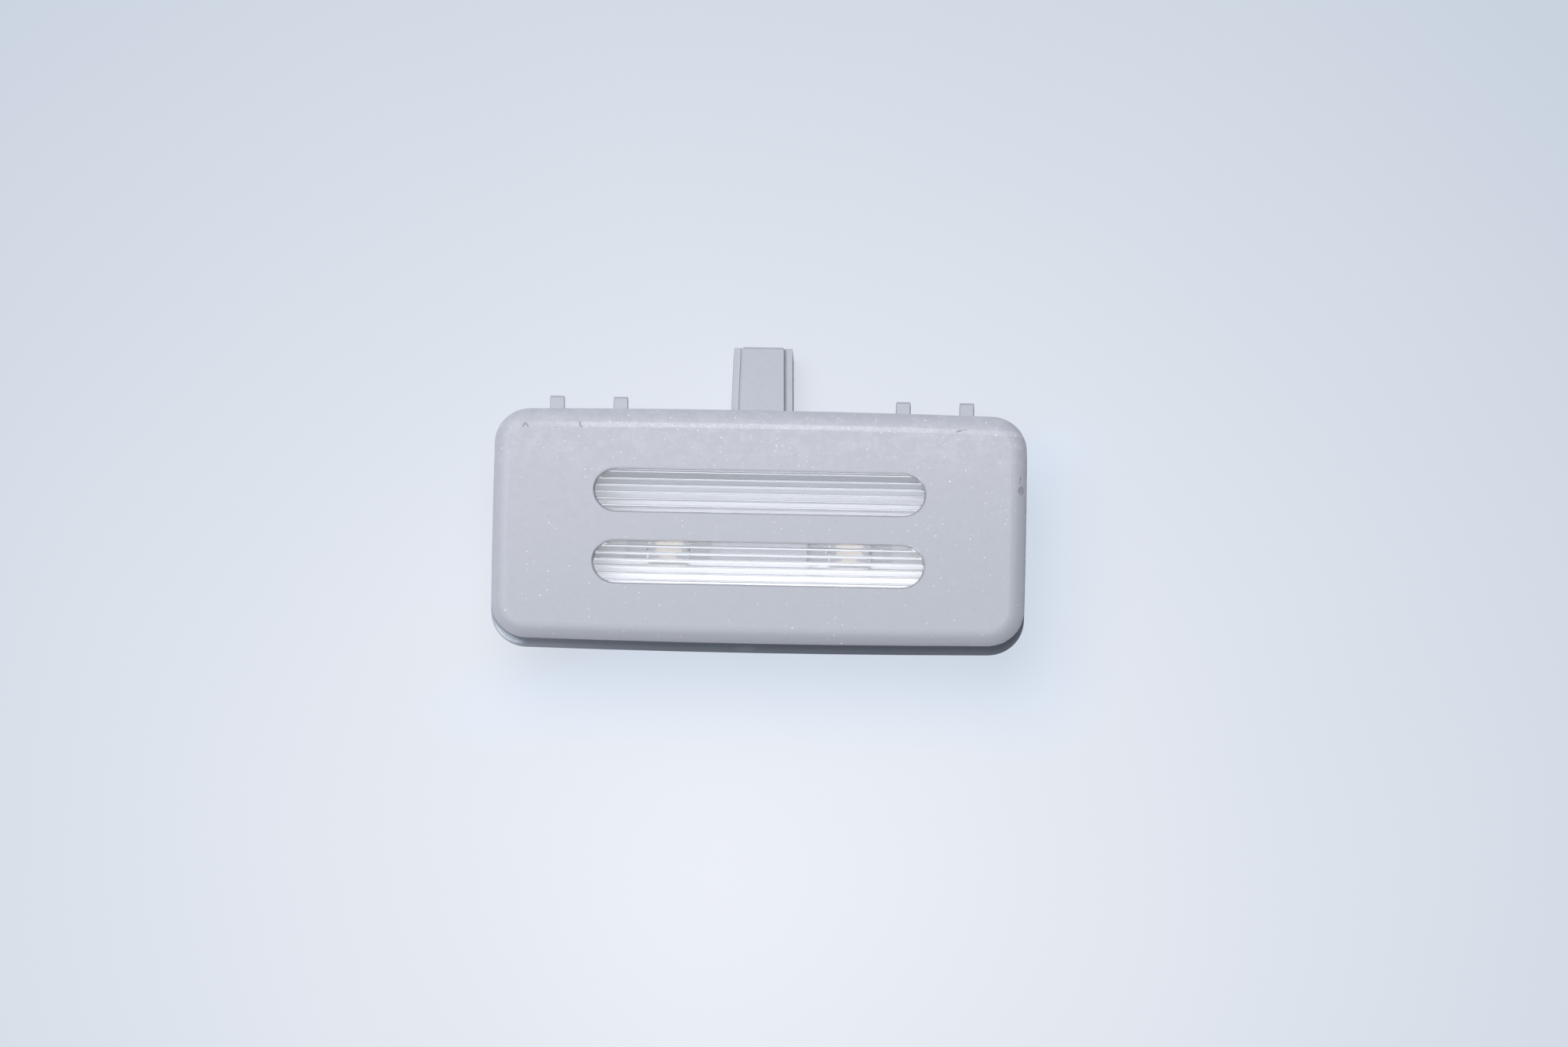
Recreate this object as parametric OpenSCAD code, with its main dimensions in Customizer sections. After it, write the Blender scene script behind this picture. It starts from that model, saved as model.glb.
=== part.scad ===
// Car interior light: a snap-in lamp for a sun visor or a headliner, with two clear lens windows.
// The origin is the centre of the panel cut-out, in the plane where the bezel seats on the panel.
// +X runs along the lamp, +Y points to the electrical connector and +Z points out of the lit face.

/* [Bezel] */
// Length of the bezel where it meets the panel
bezel_length = 76; // [74:0.5:84]
// Width of the bezel where it meets the panel
bezel_width = 34.65; // [34:0.05:36]
// Radius of the corners of the bezel's outline
corner_radius = 5.2; // [4.6:0.1:6.4]
// Turn of each long edge, from its middle to the corner: the edges are bowed very slightly
long_edge_turn = 1.05; // [0.8:0.05:1.5]
// Turn of each short edge, from its middle to the corner
short_edge_turn = 0.55; // [0.3:0.05:1]
// Height of the skirt, from the panel to the crease below the rounded edge
skirt_height = 4.7; // [4.4:0.1:6]
// Lean of the skirt's wall, for release from the mould
skirt_draft = 0.5; // [0.25:0.25:1.5]
// Rise of the rounded edge, from the crease to the flat face
edge_rise = 1.05; // [0.8:0.05:1.5]
// Width of the rounded edge, seen from above
edge_run = 2.3; // [2:0.1:2.8]
// Thickness of the skirt
skirt_wall = 1.5; // [1.3:0.1:1.6]
// Thickness of the flat face
face_wall = 1.6; // [1.4:0.1:2]

/* [Lens] */
// Length of each window in the bezel
window_length = 47.2; // [42:0.2:48]
// Height of each window
window_height = 6.36; // [5.6:0.02:6.6]
// Distance between the centre lines of the two windows
window_spacing = 10.6; // [9.6:0.1:11]
// Shift of the two windows away from the connector side
window_shift = 0.4; // [0:0.1:0.8]
// Clearance all round between a lens pad and its window
lens_gap = 0.1; // [0.06:0.02:0.16]
// Depth of the lens pads below the bezel's face
lens_recess = 0.22; // [0.1:0.02:0.4]
// Thickness of the flange that joins the two pads
flange_thickness = 1.2; // [1:0.1:1.4]
// Distance between neighbouring flutes on the back of the lens
flute_pitch = 1; // [0.9:0.1:1.2]
// Depth of each flute
flute_depth = 0.25; // [0.15:0.01:0.3]

/* [Rear housing] */
// Depth of the housing behind the panel
housing_depth = 12; // [11.6:0.2:13]
// Length of the wide tray that the bezel closes
tray_length = 70; // [69:0.5:70]
// Width of the wide tray
tray_width = 29.2; // [29:0.1:29.2]
// Length of the deeper box that holds the circuit board
box_length = 61.4; // [61:0.2:63]
// Width of the deeper box
box_width = 23.4; // [23:0.2:24]
// Thickness of the housing's walls
housing_wall = 1.3; // [1.2:0.1:1.4]
// Distance from the lamp's middle to the ends of the hook fingers
hook_reach = 21; // [20:0.1:22]
// Width of each hook finger
hook_width = 1.9; // [1.6:0.1:2.4]
// Thickness of the panel that the hooks and springs grip
panel_thickness = 2.2; // [2:0.1:2.4]

/* [Connector] */
// Distance from the lamp's middle to the mouth of the socket
mouth_reach = 29.7; // [28:0.1:31]
// Width of the shroud's upper side at its mouth
shroud_width = 8.3; // [8.1:0.1:9]
// Width of the raised panel on the shroud, at the mouth
shroud_panel = 5.8; // [5.4:0.1:6]
// Width of the socket's cavity
socket_width = 6.4; // [6.2:0.1:6.6]
// Height of the socket's cavity
socket_height = 4.3; // [4.2:0.1:4.4]
// Distance between the two terminal pins
pin_pitch = 2.5; // [2:0.1:2.6]
// Side of the square terminal pins
pin_size = 0.64; // [0.5:0.02:0.7]

/* [Circuit board] */
// Length of the circuit board
board_length = 58; // [57:0.5:58]
// Width of the circuit board
board_width = 19.6; // [19:0.1:20]
// Thickness of the circuit board
board_thickness = 1.6; // [1.5:0.1:1.6]
// Distance of each light source from the middle
led_reach = 12.75; // [11:0.25:14]
// Shift of the light sources away from the connector side
led_shift = 0.8; // [0.4:0.1:1]

/* [Hidden] */
$fn = 96;
wide_arc_steps = 2880;  // steps in the full circle of an edge's wide arc
overlap = 0.2;          // how far one solid runs into another that it is fused to
tiny = 0.003;           // keeps a rounding from being exactly tangent to a flat

face_z = skirt_height + edge_rise;
under_face_z = face_z - face_wall;
flange_z = under_face_z - flange_thickness;
pad_z = face_z - lens_recess;
back_z = -housing_depth;
window_y = [-window_shift - window_spacing / 2, -window_shift + window_spacing / 2];

// The outline is four corner arcs and four wide arcs, each tangent to its neighbours. Both tangents
// of half the turns give the corner's centre.
long_tangent = tan(long_edge_turn / 2);
short_tangent = tan(short_edge_turn / 2);
corner_x = (bezel_length / 2 - corner_radius - short_tangent * (bezel_width / 2 - corner_radius))
    / (1 - long_tangent * short_tangent);
corner_y = bezel_width / 2 - corner_radius - long_tangent * corner_x;
long_edge_radius = corner_x / sin(long_edge_turn) + corner_radius;
short_edge_radius = corner_y / sin(short_edge_turn) + corner_radius;

edge_reach = corner_radius - 0.8;   // how far in from the outline the swept edge goes
plate_margin = 1.4;                 // how far the flat plate runs past the corner centres, into the edge

skirt_lean = skirt_height * tan(skirt_draft);
edge_radius = (edge_run * edge_run + edge_rise * edge_rise) / (2 * edge_rise);
inner_fillet = 0.7;
window_bevel = 0.2;

tray_corner = 3.2;
box_corner = 2.4;
tray_top = 3;
step_z = -5.5;
floor_z = back_z + housing_wall;
box_inset = 0.3;        // how much the deeper box narrows toward its back
back_bevel = 0.6;

board_top = -6;
board_bottom = board_top - board_thickness;
board_corner = 0.8;
led_size = [5.4, 5, 1.6];
led_top = board_top + led_size[2];
led_cup = [2, 0.9];     // radius and depth of the cup that holds the phosphor
led_tab = [0.6, 0.8, 0.6];
led_tab_pitch = 1.6;
phosphor_drop = 0.08;

// Plain forms that several pieces use

module rounded_rectangle(length, width, radius) {
    square([length - 2 * radius, width], center = true);
    square([length, width - 2 * radius], center = true);
    for (x = [-1, 1], y = [-1, 1])
        translate([x * (length / 2 - radius), y * (width / 2 - radius)])
            circle(radius);
}

module slab(length, width, radius, low, high) {
    translate([0, 0, low])
        linear_extrude(high - low)
            rounded_rectangle(length, width, radius);
}

// A slab whose sides lean in by the inset on their way from low to high
module leaning_slab(length, width, radius, inset, low, high) {
    height = high - low;
    x = length / 2;
    y = width / 2;
    translate([0, y - radius, low])
        rotate([90, 0, 0])
            linear_extrude(width - 2 * radius)
                polygon([[-x, 0], [x, 0], [x - inset, height], [inset - x, height]]);
    translate([radius - x, 0, low])
        rotate([90, 0, 90])
            linear_extrude(length - 2 * radius)
                polygon([[-y, 0], [y, 0], [y - inset, height], [inset - y, height]]);
    for (i = [-1, 1], j = [-1, 1])
        translate([i * (x - radius), j * (y - radius), low])
            cylinder(h = height, r1 = radius, r2 = radius - inset);
}

// A bar with round ends along X
module round_bar(length, width, low, high) {
    translate([0, 0, low])
        linear_extrude(high - low) {
            square([length - width, width], center = true);
            for (x = [-1, 1])
                translate([x * (length - width) / 2, 0])
                    circle(width / 2);
        }
}

// A round-ended bar whose edge leans out by the spread, from low to high
module spreading_bar(length, width, spread, low, high) {
    height = high - low;
    half = width / 2;
    straight = length - width;
    translate([-straight / 2, 0, low])
        rotate([90, 0, 90])
            linear_extrude(straight)
                polygon([[-half, 0], [half, 0], [half + spread, height], [-half - spread, height]]);
    for (x = [-1, 1])
        translate([x * straight / 2, 0, low])
            cylinder(h = height, r1 = half, r2 = half + spread);
}

// A bent strip of even thickness along a list of points, with a round bend at each point
module strip(points, thickness) {
    for (i = [0 : len(points) - 2]) {
        run = points[i + 1] - points[i];
        translate(points[i])
            rotate(atan2(run[1], run[0]))
                translate([0, -thickness / 2])
                    square([norm(run), thickness]);
    }
    for (point = points)
        translate(point)
            circle(thickness / 2);
}

// Draws its child in the YZ plane and extends it along X by the width, about the given x
module across(x, width) {
    translate([x - width / 2, 0, 0])
        rotate([90, 0, 90])
            linear_extrude(width)
                children();
}

// Bezel

// Moves its child in a coarse, a fine and a last small step, so that a long way keeps all its digits
module far(way) {
    coarse = [for (c = way) floor(c)];
    fine = [for (c = way - coarse) floor(c * 1000) / 1000];
    translate(coarse)
        translate(fine)
            translate(way - coarse - fine)
                children();
}

// Sweeps its child, drawn with x = 0 on the arc and y upward, along an arc
module along_arc(centre, radius, start, turn) {
    far(centre)
        rotate_extrude(start = start, angle = turn, $fn = radius > bezel_length ? wide_arc_steps : $fn)
            far([radius, 0, 0])
                children();
}

// Carries its child all the way round the outline
module around_outline() {
    for (side = [0, 180]) {
        way = side == 0 ? 1 : -1;
        along_arc([0, way * (bezel_width / 2 - long_edge_radius), 0],
            long_edge_radius, 90 + side - long_edge_turn, 2 * long_edge_turn)
            children();
        along_arc([way * (bezel_length / 2 - short_edge_radius), 0, 0],
            short_edge_radius, side - short_edge_turn, 2 * short_edge_turn)
            children();
        along_arc([way * corner_x, way * corner_y, 0],
            corner_radius, side + short_edge_turn, 90 - short_edge_turn - long_edge_turn)
            children();
        along_arc([-way * corner_x, way * corner_y, 0],
            corner_radius, side + 90 + long_edge_turn, 90 - short_edge_turn - long_edge_turn)
            children();
    }
}

// The section of the bezel's edge: a leaning skirt, a crease and a shallow rounded edge
module edge_section() {
    round_x = -skirt_lean - edge_run;
    difference() {
        intersection() {
            polygon([
                [-edge_reach, 0], [0, 0], [-skirt_lean, skirt_height],
                [-skirt_lean, face_z], [-edge_reach, face_z]
            ]);
            union() {
                translate([-corner_radius, -1])
                    square([corner_radius + 1, skirt_height + 1]);
                translate([-corner_radius, 0])
                    square([corner_radius + round_x, face_z + 1]);
                translate([round_x, face_z - edge_radius + tiny])
                    circle(edge_radius);
            }
        }
        difference() {
            translate([-corner_radius, -1])
                square([corner_radius - skirt_wall, under_face_z + 1]);
            difference() {
                translate([-skirt_wall - inner_fillet, under_face_z - inner_fillet])
                    square(inner_fillet + 1);
                translate([-skirt_wall - inner_fillet, under_face_z - inner_fillet])
                    circle(inner_fillet);
            }
        }
    }
}

tongue_wall = 1;
tongue_width = 5.6;
tongue_bottom = -5.1;
tongue_gap = 0.1;
catch_size = [3.4, 0.75, 1.7];
catch_top = -2.2;
catch_play = 0.15;
side_tongues = [-12.5, 12.5];

// Repeats a snap at both ends and in pairs on both sides, drawn at the wall that faces +Y
module at_snaps(end_wall, side_wall) {
    for (side = [0, 180])
        rotate([0, 0, side]) {
            for (x = side_tongues)
                translate([x, side_wall, 0])
                    children();
            rotate([0, 0, -90])
                translate([0, end_wall, 0])
                    children();
        }
}

// A snap tongue: it hangs from the face, just inside the skirt, with a window for the catch
module snap_tongue() {
    difference() {
        across(0, tongue_width)
            polygon([
                [0, tongue_bottom + 0.5], [tongue_wall, tongue_bottom + 1.2],
                [tongue_wall, 0.3], [tongue_wall + 0.8, 1.1], [tongue_wall + 0.8, under_face_z + overlap],
                [0, under_face_z + overlap]
            ]);
        // The catch bears on the lower edge of the window and has play on the other three
        across(0, catch_size[0] + 2 * catch_play)
            polygon([
                [-1, catch_top + catch_play], [2, catch_top + catch_play],
                [2, catch_top - catch_size[2]], [-1, catch_top - catch_size[2]]
            ]);
    }
}

stake_radius = 0.8;
stake_head = [1.35, 1, 0.5];        // radius on the piece it holds, radius at its top, and height
lens_stakes = [for (x = [-1, 1], y = [-1, 1]) [x * 28.2, y * 7.4 - window_shift]];

module bezel() color([0.76, 0.78, 0.82]) {
    difference() {
        union() {
            around_outline() edge_section();
            slab(2 * (corner_x + plate_margin), 2 * (corner_y + plate_margin), 0.5, under_face_z, face_z);
            at_snaps(tray_length / 2 + tongue_gap, tray_width / 2 + tongue_gap)
                snap_tongue();
        }
        for (y = window_y)
            translate([0, y, 0]) {
                round_bar(window_length, window_height, under_face_z - 1, face_z + 1);
                spreading_bar(window_length, window_height, 1.25 * window_bevel,
                    face_z - window_bevel, face_z + window_bevel / 4);
            }
    }
    for (at = lens_stakes)
        translate([at[0], at[1], 0]) {
            translate([0, 0, flange_z - overlap])
                cylinder(h = under_face_z + 2 * overlap - flange_z, r = stake_radius);
            translate([0, 0, flange_z - stake_head[2]])
                cylinder(h = stake_head[2], r1 = stake_head[1], r2 = stake_head[0]);
        }
}

// Lens

flange_length = 60.4;
flange_width = 22.2;
flute_count = 17;
flute_length = window_length + 1;
flute_radius = (flute_pitch * flute_pitch / 4 + flute_depth * flute_depth) / (2 * flute_depth);

module lens() color([0.9, 0.93, 0.96, 0.5]) {
    difference() {
        union() {
            slab(flange_length, flange_width, 2, flange_z, under_face_z);
            for (y = window_y)
                translate([0, y, 0])
                    round_bar(
                        window_length - 2 * lens_gap, window_height - 2 * lens_gap,
                        under_face_z - overlap, pad_z
                    );
            // The flutes spread the light across the car; each is part of a cylinder along X
            intersection() {
                for (i = [0 : flute_count - 1])
                    translate([0, (i - (flute_count - 1) / 2) * flute_pitch - window_shift,
                        flange_z - flute_depth + flute_radius])
                        rotate([0, 90, 0])
                            cylinder(h = flute_length, r = flute_radius, center = true);
                translate([-flute_length, -flange_width, flange_z - 1])
                    cube([2 * flute_length, 2 * flange_width, 1 + overlap]);
            }
        }
        for (at = lens_stakes)
            translate([at[0], at[1], flange_z - 1])
                cylinder(h = flange_thickness + 2, r = stake_radius);
    }
}

// Reflector

reflector_wall = 0.8;
reflector_top = flange_z;
reflector_floor = -4.7;
floor_half = 2;
mouth_half = 9.2;
rim_width = 1.1;
reflector_half = 25;
curve_radius = 13;
led_opening = [12, 5.7];

// Centre of the arc with the given radius that rises from one point to another, hollow side up
function arc_centre(from, to, radius) =
    let (
        run = to - from,
        half = norm(run) / 2,
        away = sqrt(radius * radius - half * half)
    )
    (from + to) / 2 + away * [-run[1], run[0]] / norm(run);

// Half of the trough's section from its middle to its mouth, grown by the wall, up to the given height
module trough_half(wall, top) {
    centre = arc_centre([floor_half, reflector_floor], [mouth_half, reflector_top], curve_radius);
    intersection() {
        translate(centre)
            circle(curve_radius + wall);
        translate([-overlap, reflector_floor - wall])
            square([curve_radius, top - reflector_floor + wall]);
    }
}

// Both halves of a section
module both_halves() {
    for (side = [0, 1])
        mirror([side, 0])
            children();
}

module reflector() color([0.95, 0.95, 0.94]) {
    translate([0, -window_shift, 0])
        difference() {
            union() {
                across(0, 2 * reflector_half)
                    both_halves() {
                        trough_half(reflector_wall, reflector_top);
                        translate([mouth_half + overlap, reflector_top - reflector_wall])
                            square([rim_width - overlap, reflector_wall]);
                    }
                // The ends stand on the circuit board
                for (side = [-1, 1])
                    translate([
                        side * (reflector_half - reflector_wall / 2), 0, (board_top + reflector_floor) / 2
                    ])
                        cube([reflector_wall, 6.8, reflector_floor - board_top], center = true);
            }
            across(0, 2 * (reflector_half - reflector_wall))
                both_halves()
                    trough_half(0, reflector_top + 1);
            for (side = [-1, 1])
                translate([side * led_reach, window_shift - led_shift, 0])
                    slab(led_opening[0], led_opening[1], 1.2, reflector_floor - 3, reflector_floor + 2);
        }
}

// Rear housing

pocket_depth = 0.45;
clip_pocket_top = tray_top - 2.2;
clip_x = 22;
clip_width = 6;
clip_thickness = 0.4;
clip_stake = 0.75;
clip_stake_head = [1.2, 0.9, 0.4];  // radius on the clip, radius at its top, and height
clip_stake_z = -0.9;
board_stakes = [for (x = [-1, 1], y = [-1, 1]) [x * 26.6, y * 7.4]];
post_radius = 1.7;
hook_x = [-29.2, -20.15, 20.15, 29.2];
hook_top = -panel_thickness;
hook_thickness = 1.8;
hook_bevel = 0.35;
hook_lean = 0.06;       // how much each side of a hook leans out, per millimetre toward the back
shroud_top = step_z;
ledge_z = shroud_top - 0.8;
shroud_root = box_width / 2 - box_inset - 1;
shroud_length = mouth_reach - shroud_root;
shroud_taper = 1.2;     // turn of each side of the shroud, seen from above
shroud_draft = 1.5;     // lean of each side of the shroud, toward the back
shroud_bevel = 0.35;
groove = [0.32, 0.25];  // width and depth of the grooves beside the raised panel
socket_depth = mouth_reach - 15.5;
socket_middle = (ledge_z + back_z) / 2;
mouth_flare = 0.3;
latch_groove = [3.2, 0.5];          // width, and depth above the cavity
latch_start = 4;                    // distance of the groove's end from the cavity's
core_pocket = [13.1, 8.4, 0.5];     // length, width and depth
core_corner = 1;
core_rib = 1.2;
core_columns = 4;
core_rows = 2;
pin_z = socket_middle;
pin_end = 24;
pin_rise_y = 8;
pin_hole = 0.5;

// A hook finger with a rib under it, between two sides that lean out toward the back
module hook() {
    wall_y = tray_width / 2 - overlap;
    hook_bottom = hook_top - hook_thickness;
    lean = hook_lean * (hook_top - step_z);
    intersection() {
        union() {
            across(0, 2 * hook_width)
                polygon([
                    [wall_y, hook_top], [hook_reach - hook_bevel, hook_top],
                    [hook_reach, hook_top - hook_bevel], [hook_reach, hook_bottom + hook_bevel],
                    [hook_reach - hook_bevel, hook_bottom], [wall_y, hook_bottom]
                ]);
            across(0, hook_width / 2)
                polygon([
                    [wall_y, hook_bottom + 0.1], [hook_reach - 2, hook_bottom + 0.1], [wall_y, step_z + 0.2]
                ]);
        }
        translate([0, hook_reach + 1, 0])
            rotate([90, 0, 0])
                linear_extrude(hook_reach)
                    polygon([
                        [hook_width / 2, hook_top], [-hook_width / 2, hook_top],
                        [-hook_width / 2 - lean, step_z], [hook_width / 2 + lean, step_z]
                    ]);
    }
}

// The shroud of the socket widens toward the lamp and toward its back. On it a raised panel lies
// between two grooves and two ledges.
module shroud() {
    widening = shroud_length * tan(shroud_taper);
    half = shroud_panel / 2;
    reach = shroud_width;
    low = ledge_z - groove[1];
    difference() {
        union() {
            translate([-reach, shroud_root, back_z])
                cube([2 * reach, shroud_length, low - back_z]);
            for (side = [0, 1])
                mirror([side, 0, 0])
                    translate([0, 0, low - overlap])
                        linear_extrude(groove[1] + overlap)
                            polygon([
                                [half + groove[0], mouth_reach], [half + widening + groove[0], shroud_root],
                                [reach, shroud_root], [reach, mouth_reach]
                            ]);
            translate([0, 0, low - overlap])
                linear_extrude(shroud_top - low + overlap)
                    polygon([
                        [-half, mouth_reach], [half, mouth_reach],
                        [half + widening, shroud_root], [-half - widening, shroud_root]
                    ]);
        }
        for (side = [0, 1])
            mirror([side, 0, 0])
                translate([shroud_width / 2, mouth_reach, ledge_z])
                    rotate([0, -shroud_draft, shroud_taper])
                        translate([0, -2 * shroud_length, -2 * housing_depth])
                            cube([2 * reach, 3 * shroud_length, 3 * housing_depth]);
        across(0, 2 * reach)
            polygon([
                [mouth_reach - shroud_bevel, shroud_top], [mouth_reach + 1, shroud_top - shroud_bevel - 1],
                [mouth_reach + 1, shroud_top + 1], [mouth_reach - shroud_bevel, shroud_top + 1]
            ]);
    }
}

// The socket, flared at its mouth, and the groove for the plug's latch
module socket() {
    x = socket_width / 2;
    z = socket_height / 2;
    translate([-x, mouth_reach - socket_depth, socket_middle - z])
        cube([socket_width, socket_depth + 1, socket_height]);
    intersection() {
        translate([0, 0, back_z])
            linear_extrude(housing_depth)
                polygon([
                    [-x, mouth_reach - 2 * mouth_flare], [x, mouth_reach - 2 * mouth_flare],
                    [x + mouth_flare, mouth_reach], [x + mouth_flare, mouth_reach + 1],
                    [-x - mouth_flare, mouth_reach + 1], [-x - mouth_flare, mouth_reach]
                ]);
        across(0, 2 * socket_width)
            translate([0, socket_middle])
                polygon([
                    [mouth_reach - 2 * mouth_flare, -z], [mouth_reach, -z - mouth_flare],
                    [mouth_reach + 1, -z - mouth_flare], [mouth_reach + 1, z + mouth_flare],
                    [mouth_reach, z + mouth_flare], [mouth_reach - 2 * mouth_flare, z]
                ]);
    }
    translate([-latch_groove[0] / 2, mouth_reach - socket_depth + latch_start, socket_middle])
        cube([latch_groove[0], socket_depth, z + latch_groove[1]]);
}

// Shallow pockets that thin the housing's back and leave ribs between them
module core_pockets() {
    for (i = [0 : core_columns - 1], j = [0 : core_rows - 1])
        translate([
            (i - (core_columns - 1) / 2) * (core_pocket[0] + core_rib),
            (j - (core_rows - 1) / 2) * (core_pocket[1] + core_rib), 0
        ])
            slab(core_pocket[0], core_pocket[1], core_corner, back_z - 1, back_z + core_pocket[2]);
}

module pin_bores() {
    for (x = [-1, 1])
        translate([x * pin_pitch / 2 - pin_size / 2, pin_rise_y - pin_size / 2, pin_z - pin_size / 2])
            cube([pin_size, mouth_reach, pin_size]);
}

// A catch for a snap tongue: its top slopes so that the tongue rides over it
module catch_wedge() {
    across(0, catch_size[0])
        polygon([
            [-overlap, catch_top + 0.25], [0, catch_top + 0.25], [catch_size[1], catch_top - 1],
            [catch_size[1], catch_top - catch_size[2]], [-overlap, catch_top - catch_size[2]]
        ]);
}

module rear_housing() color([0.72, 0.74, 0.78]) {
    difference() {
        union() {
            slab(tray_length, tray_width, tray_corner, step_z, tray_top);
            mirror([0, 0, 1])
                leaning_slab(box_length, box_width, box_corner, box_inset,
                    -step_z - overlap, -back_z - back_bevel);
            mirror([0, 0, 1])
                leaning_slab(box_length - 2 * box_inset, box_width - 2 * box_inset, box_corner - box_inset,
                    back_bevel, -back_z - back_bevel, -back_z);
            shroud();
            for (x = hook_x)
                translate([x, 0, 0])
                    hook();
            at_snaps(tray_length / 2, tray_width / 2)
                catch_wedge();
        }
        slab(tray_length - 2 * housing_wall, tray_width - 2 * housing_wall, tray_corner - housing_wall,
            step_z + housing_wall, tray_top + 1);
        slab(box_length - 2 * housing_wall - 2 * box_inset, box_width - 2 * housing_wall - 2 * box_inset,
            box_corner - housing_wall, floor_z, step_z + housing_wall + 1);
        socket();
        pin_bores();
        core_pockets();
        // Flat pockets for the spring clips
        for (side = [-1, 1])
            translate([side * clip_x - clip_width / 2 - 0.15, -tray_width / 2 - 1, step_z - 1])
                cube([clip_width + 0.3, 1 + pocket_depth, clip_pocket_top + 1 - step_z]);
    }
    // Posts that carry the circuit board, with stakes melted over it
    for (at = board_stakes)
        translate([at[0], at[1], 0]) {
            translate([0, 0, floor_z - overlap])
                cylinder(h = board_bottom - floor_z + overlap, r = post_radius);
            translate([0, 0, board_bottom - overlap])
                cylinder(h = board_thickness + 2 * overlap, r = stake_radius);
            translate([0, 0, board_top])
                cylinder(h = stake_head[2], r1 = stake_head[0], r2 = stake_head[1]);
        }
    // Stakes that hold the spring clips
    for (side = [-1, 1])
        translate([side * clip_x, -tray_width / 2 + pocket_depth + overlap, clip_stake_z])
            rotate([90, 0, 0]) {
                cylinder(h = overlap + clip_thickness + 0.1, r = clip_stake);
                translate([0, 0, overlap + clip_thickness])
                    cylinder(h = clip_stake_head[2], r1 = clip_stake_head[0], r2 = clip_stake_head[1]);
            }
}

// Circuit board and what is soldered to it

module circuit_board() color([0.93, 0.94, 0.93]) {
    difference() {
        slab(board_length, board_width, board_corner, board_bottom, board_top);
        for (at = board_stakes)
            translate([at[0], at[1], board_bottom - 1])
                cylinder(h = board_thickness + 2, r = stake_radius);
        for (x = [-1, 1])
            translate([x * pin_pitch / 2, pin_rise_y, board_bottom - 1])
                cylinder(h = board_thickness + 2, r = pin_hole);
    }
}

module led(side) color([0.96, 0.95, 0.9]) {
    translate([side * led_reach, -led_shift, board_top])
        difference() {
            union() {
                translate([-led_size[0] / 2, -led_size[1] / 2, 0])
                    cube(led_size);
                // Solder tabs on both ends
                for (end = [-1, 1], y = [-1, 0, 1])
                    translate([end * led_size[0] / 2, y * led_tab_pitch, led_tab[2] / 2])
                        cube(led_tab, center = true);
            }
            translate([0, 0, led_size[2] - led_cup[1]])
                cylinder(h = led_cup[1] + 1, r = led_cup[0]);
            // The corner that is cut off marks the cathode
            translate([led_size[0] / 2, led_size[1] / 2, led_size[2] - 0.5])
                rotate([0, 0, 45])
                    cube([1, 1, 2], center = true);
        }
}

module led_phosphor(side) color([0.97, 0.86, 0.5]) {
    translate([side * led_reach, -led_shift, led_top - led_cup[1]])
        cylinder(h = led_cup[1] - phosphor_drop, r = led_cup[0]);
}

// A chip part on the back of the board: a body between two metal ends
module chip(at, size, ends, turn) {
    translate([at[0], at[1], board_bottom - size[2]])
        rotate([0, 0, turn]) {
            translate([-size[0] / 2 + ends, -size[1] / 2 + 0.03, 0.04])
                cube([size[0] - 2 * ends, size[1] - 0.06, size[2] - 0.04]);
            for (end = [-1, 1])
                translate([end * (size[0] - ends) / 2 - ends / 2, -size[1] / 2, 0])
                    cube([ends, size[1], size[2]]);
        }
}

resistor_size = [3.2, 1.6, 0.6];
resistor_x = [-20.5, -15.5, 15.5, 20.5];
capacitor_size = [2, 1.25, 0.9];

module resistor(i) color([0.13, 0.13, 0.14])
    chip([resistor_x[i], -4.6], resistor_size, 0.5, 90);

module filter_capacitor(i) color([0.72, 0.6, 0.46])
    chip([i == 0 ? -5.4 : 5.4, 5.2], capacitor_size, 0.45, 0);

module surge_suppressor() color([0.35, 0.36, 0.4])
    chip([8.6, -3.6], [3.2, 2.5, 1.5], 0.55, 90);

diode_body = [4, 2.5];
diode_corner = 0.2;
diode_levels = [0.15, 1.1, 2.1];    // from the board to the body's near face, middle and far face
diode_lead = [0.7, 1.4, 1.1];
diode_narrowing = 0.12;

// A moulded diode: a body that narrows to both faces, on two leads
module polarity_diode() color([0.16, 0.16, 0.17])
    translate([-8.4, -3.6, board_bottom]) {
        mirror([0, 0, 1])
            leaning_slab(diode_body[0], diode_body[1], diode_corner, diode_narrowing,
                diode_levels[1], diode_levels[2]);
        leaning_slab(diode_body[0], diode_body[1], diode_corner, diode_narrowing,
            -diode_levels[1], -diode_levels[0]);
        for (end = [-1, 1])
            translate([end * (diode_body[0] / 2 + 0.2), 0, -diode_lead[2] / 2])
                cube(diode_lead, center = true);
    }

module terminal_pin(side) color([0.8, 0.78, 0.7]) {
    x = side * pin_pitch / 2;
    tip = 0.6;
    half = pin_size / 2;
    difference() {
        union() {
            translate([x - half, pin_rise_y - half, pin_z - half])
                cube([pin_size, pin_end - pin_rise_y + half, pin_size]);
            translate([x - half, pin_rise_y - half, pin_z - half])
                cube([pin_size, pin_size, board_top + 0.8 - pin_z + half]);
        }
        // Four slopes that point the tip
        for (turn = [0 : 90 : 270])
            translate([x, pin_end, pin_z])
                rotate([0, turn, 0])
                    rotate([90, 0, 90])
                        linear_extrude(2, center = true)
                            polygon([
                                [-tip, half + 0.01], [0.1, half / 2], [0.1, half + 0.2], [-tip, half + 0.2]
                            ]);
    }
}

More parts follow.
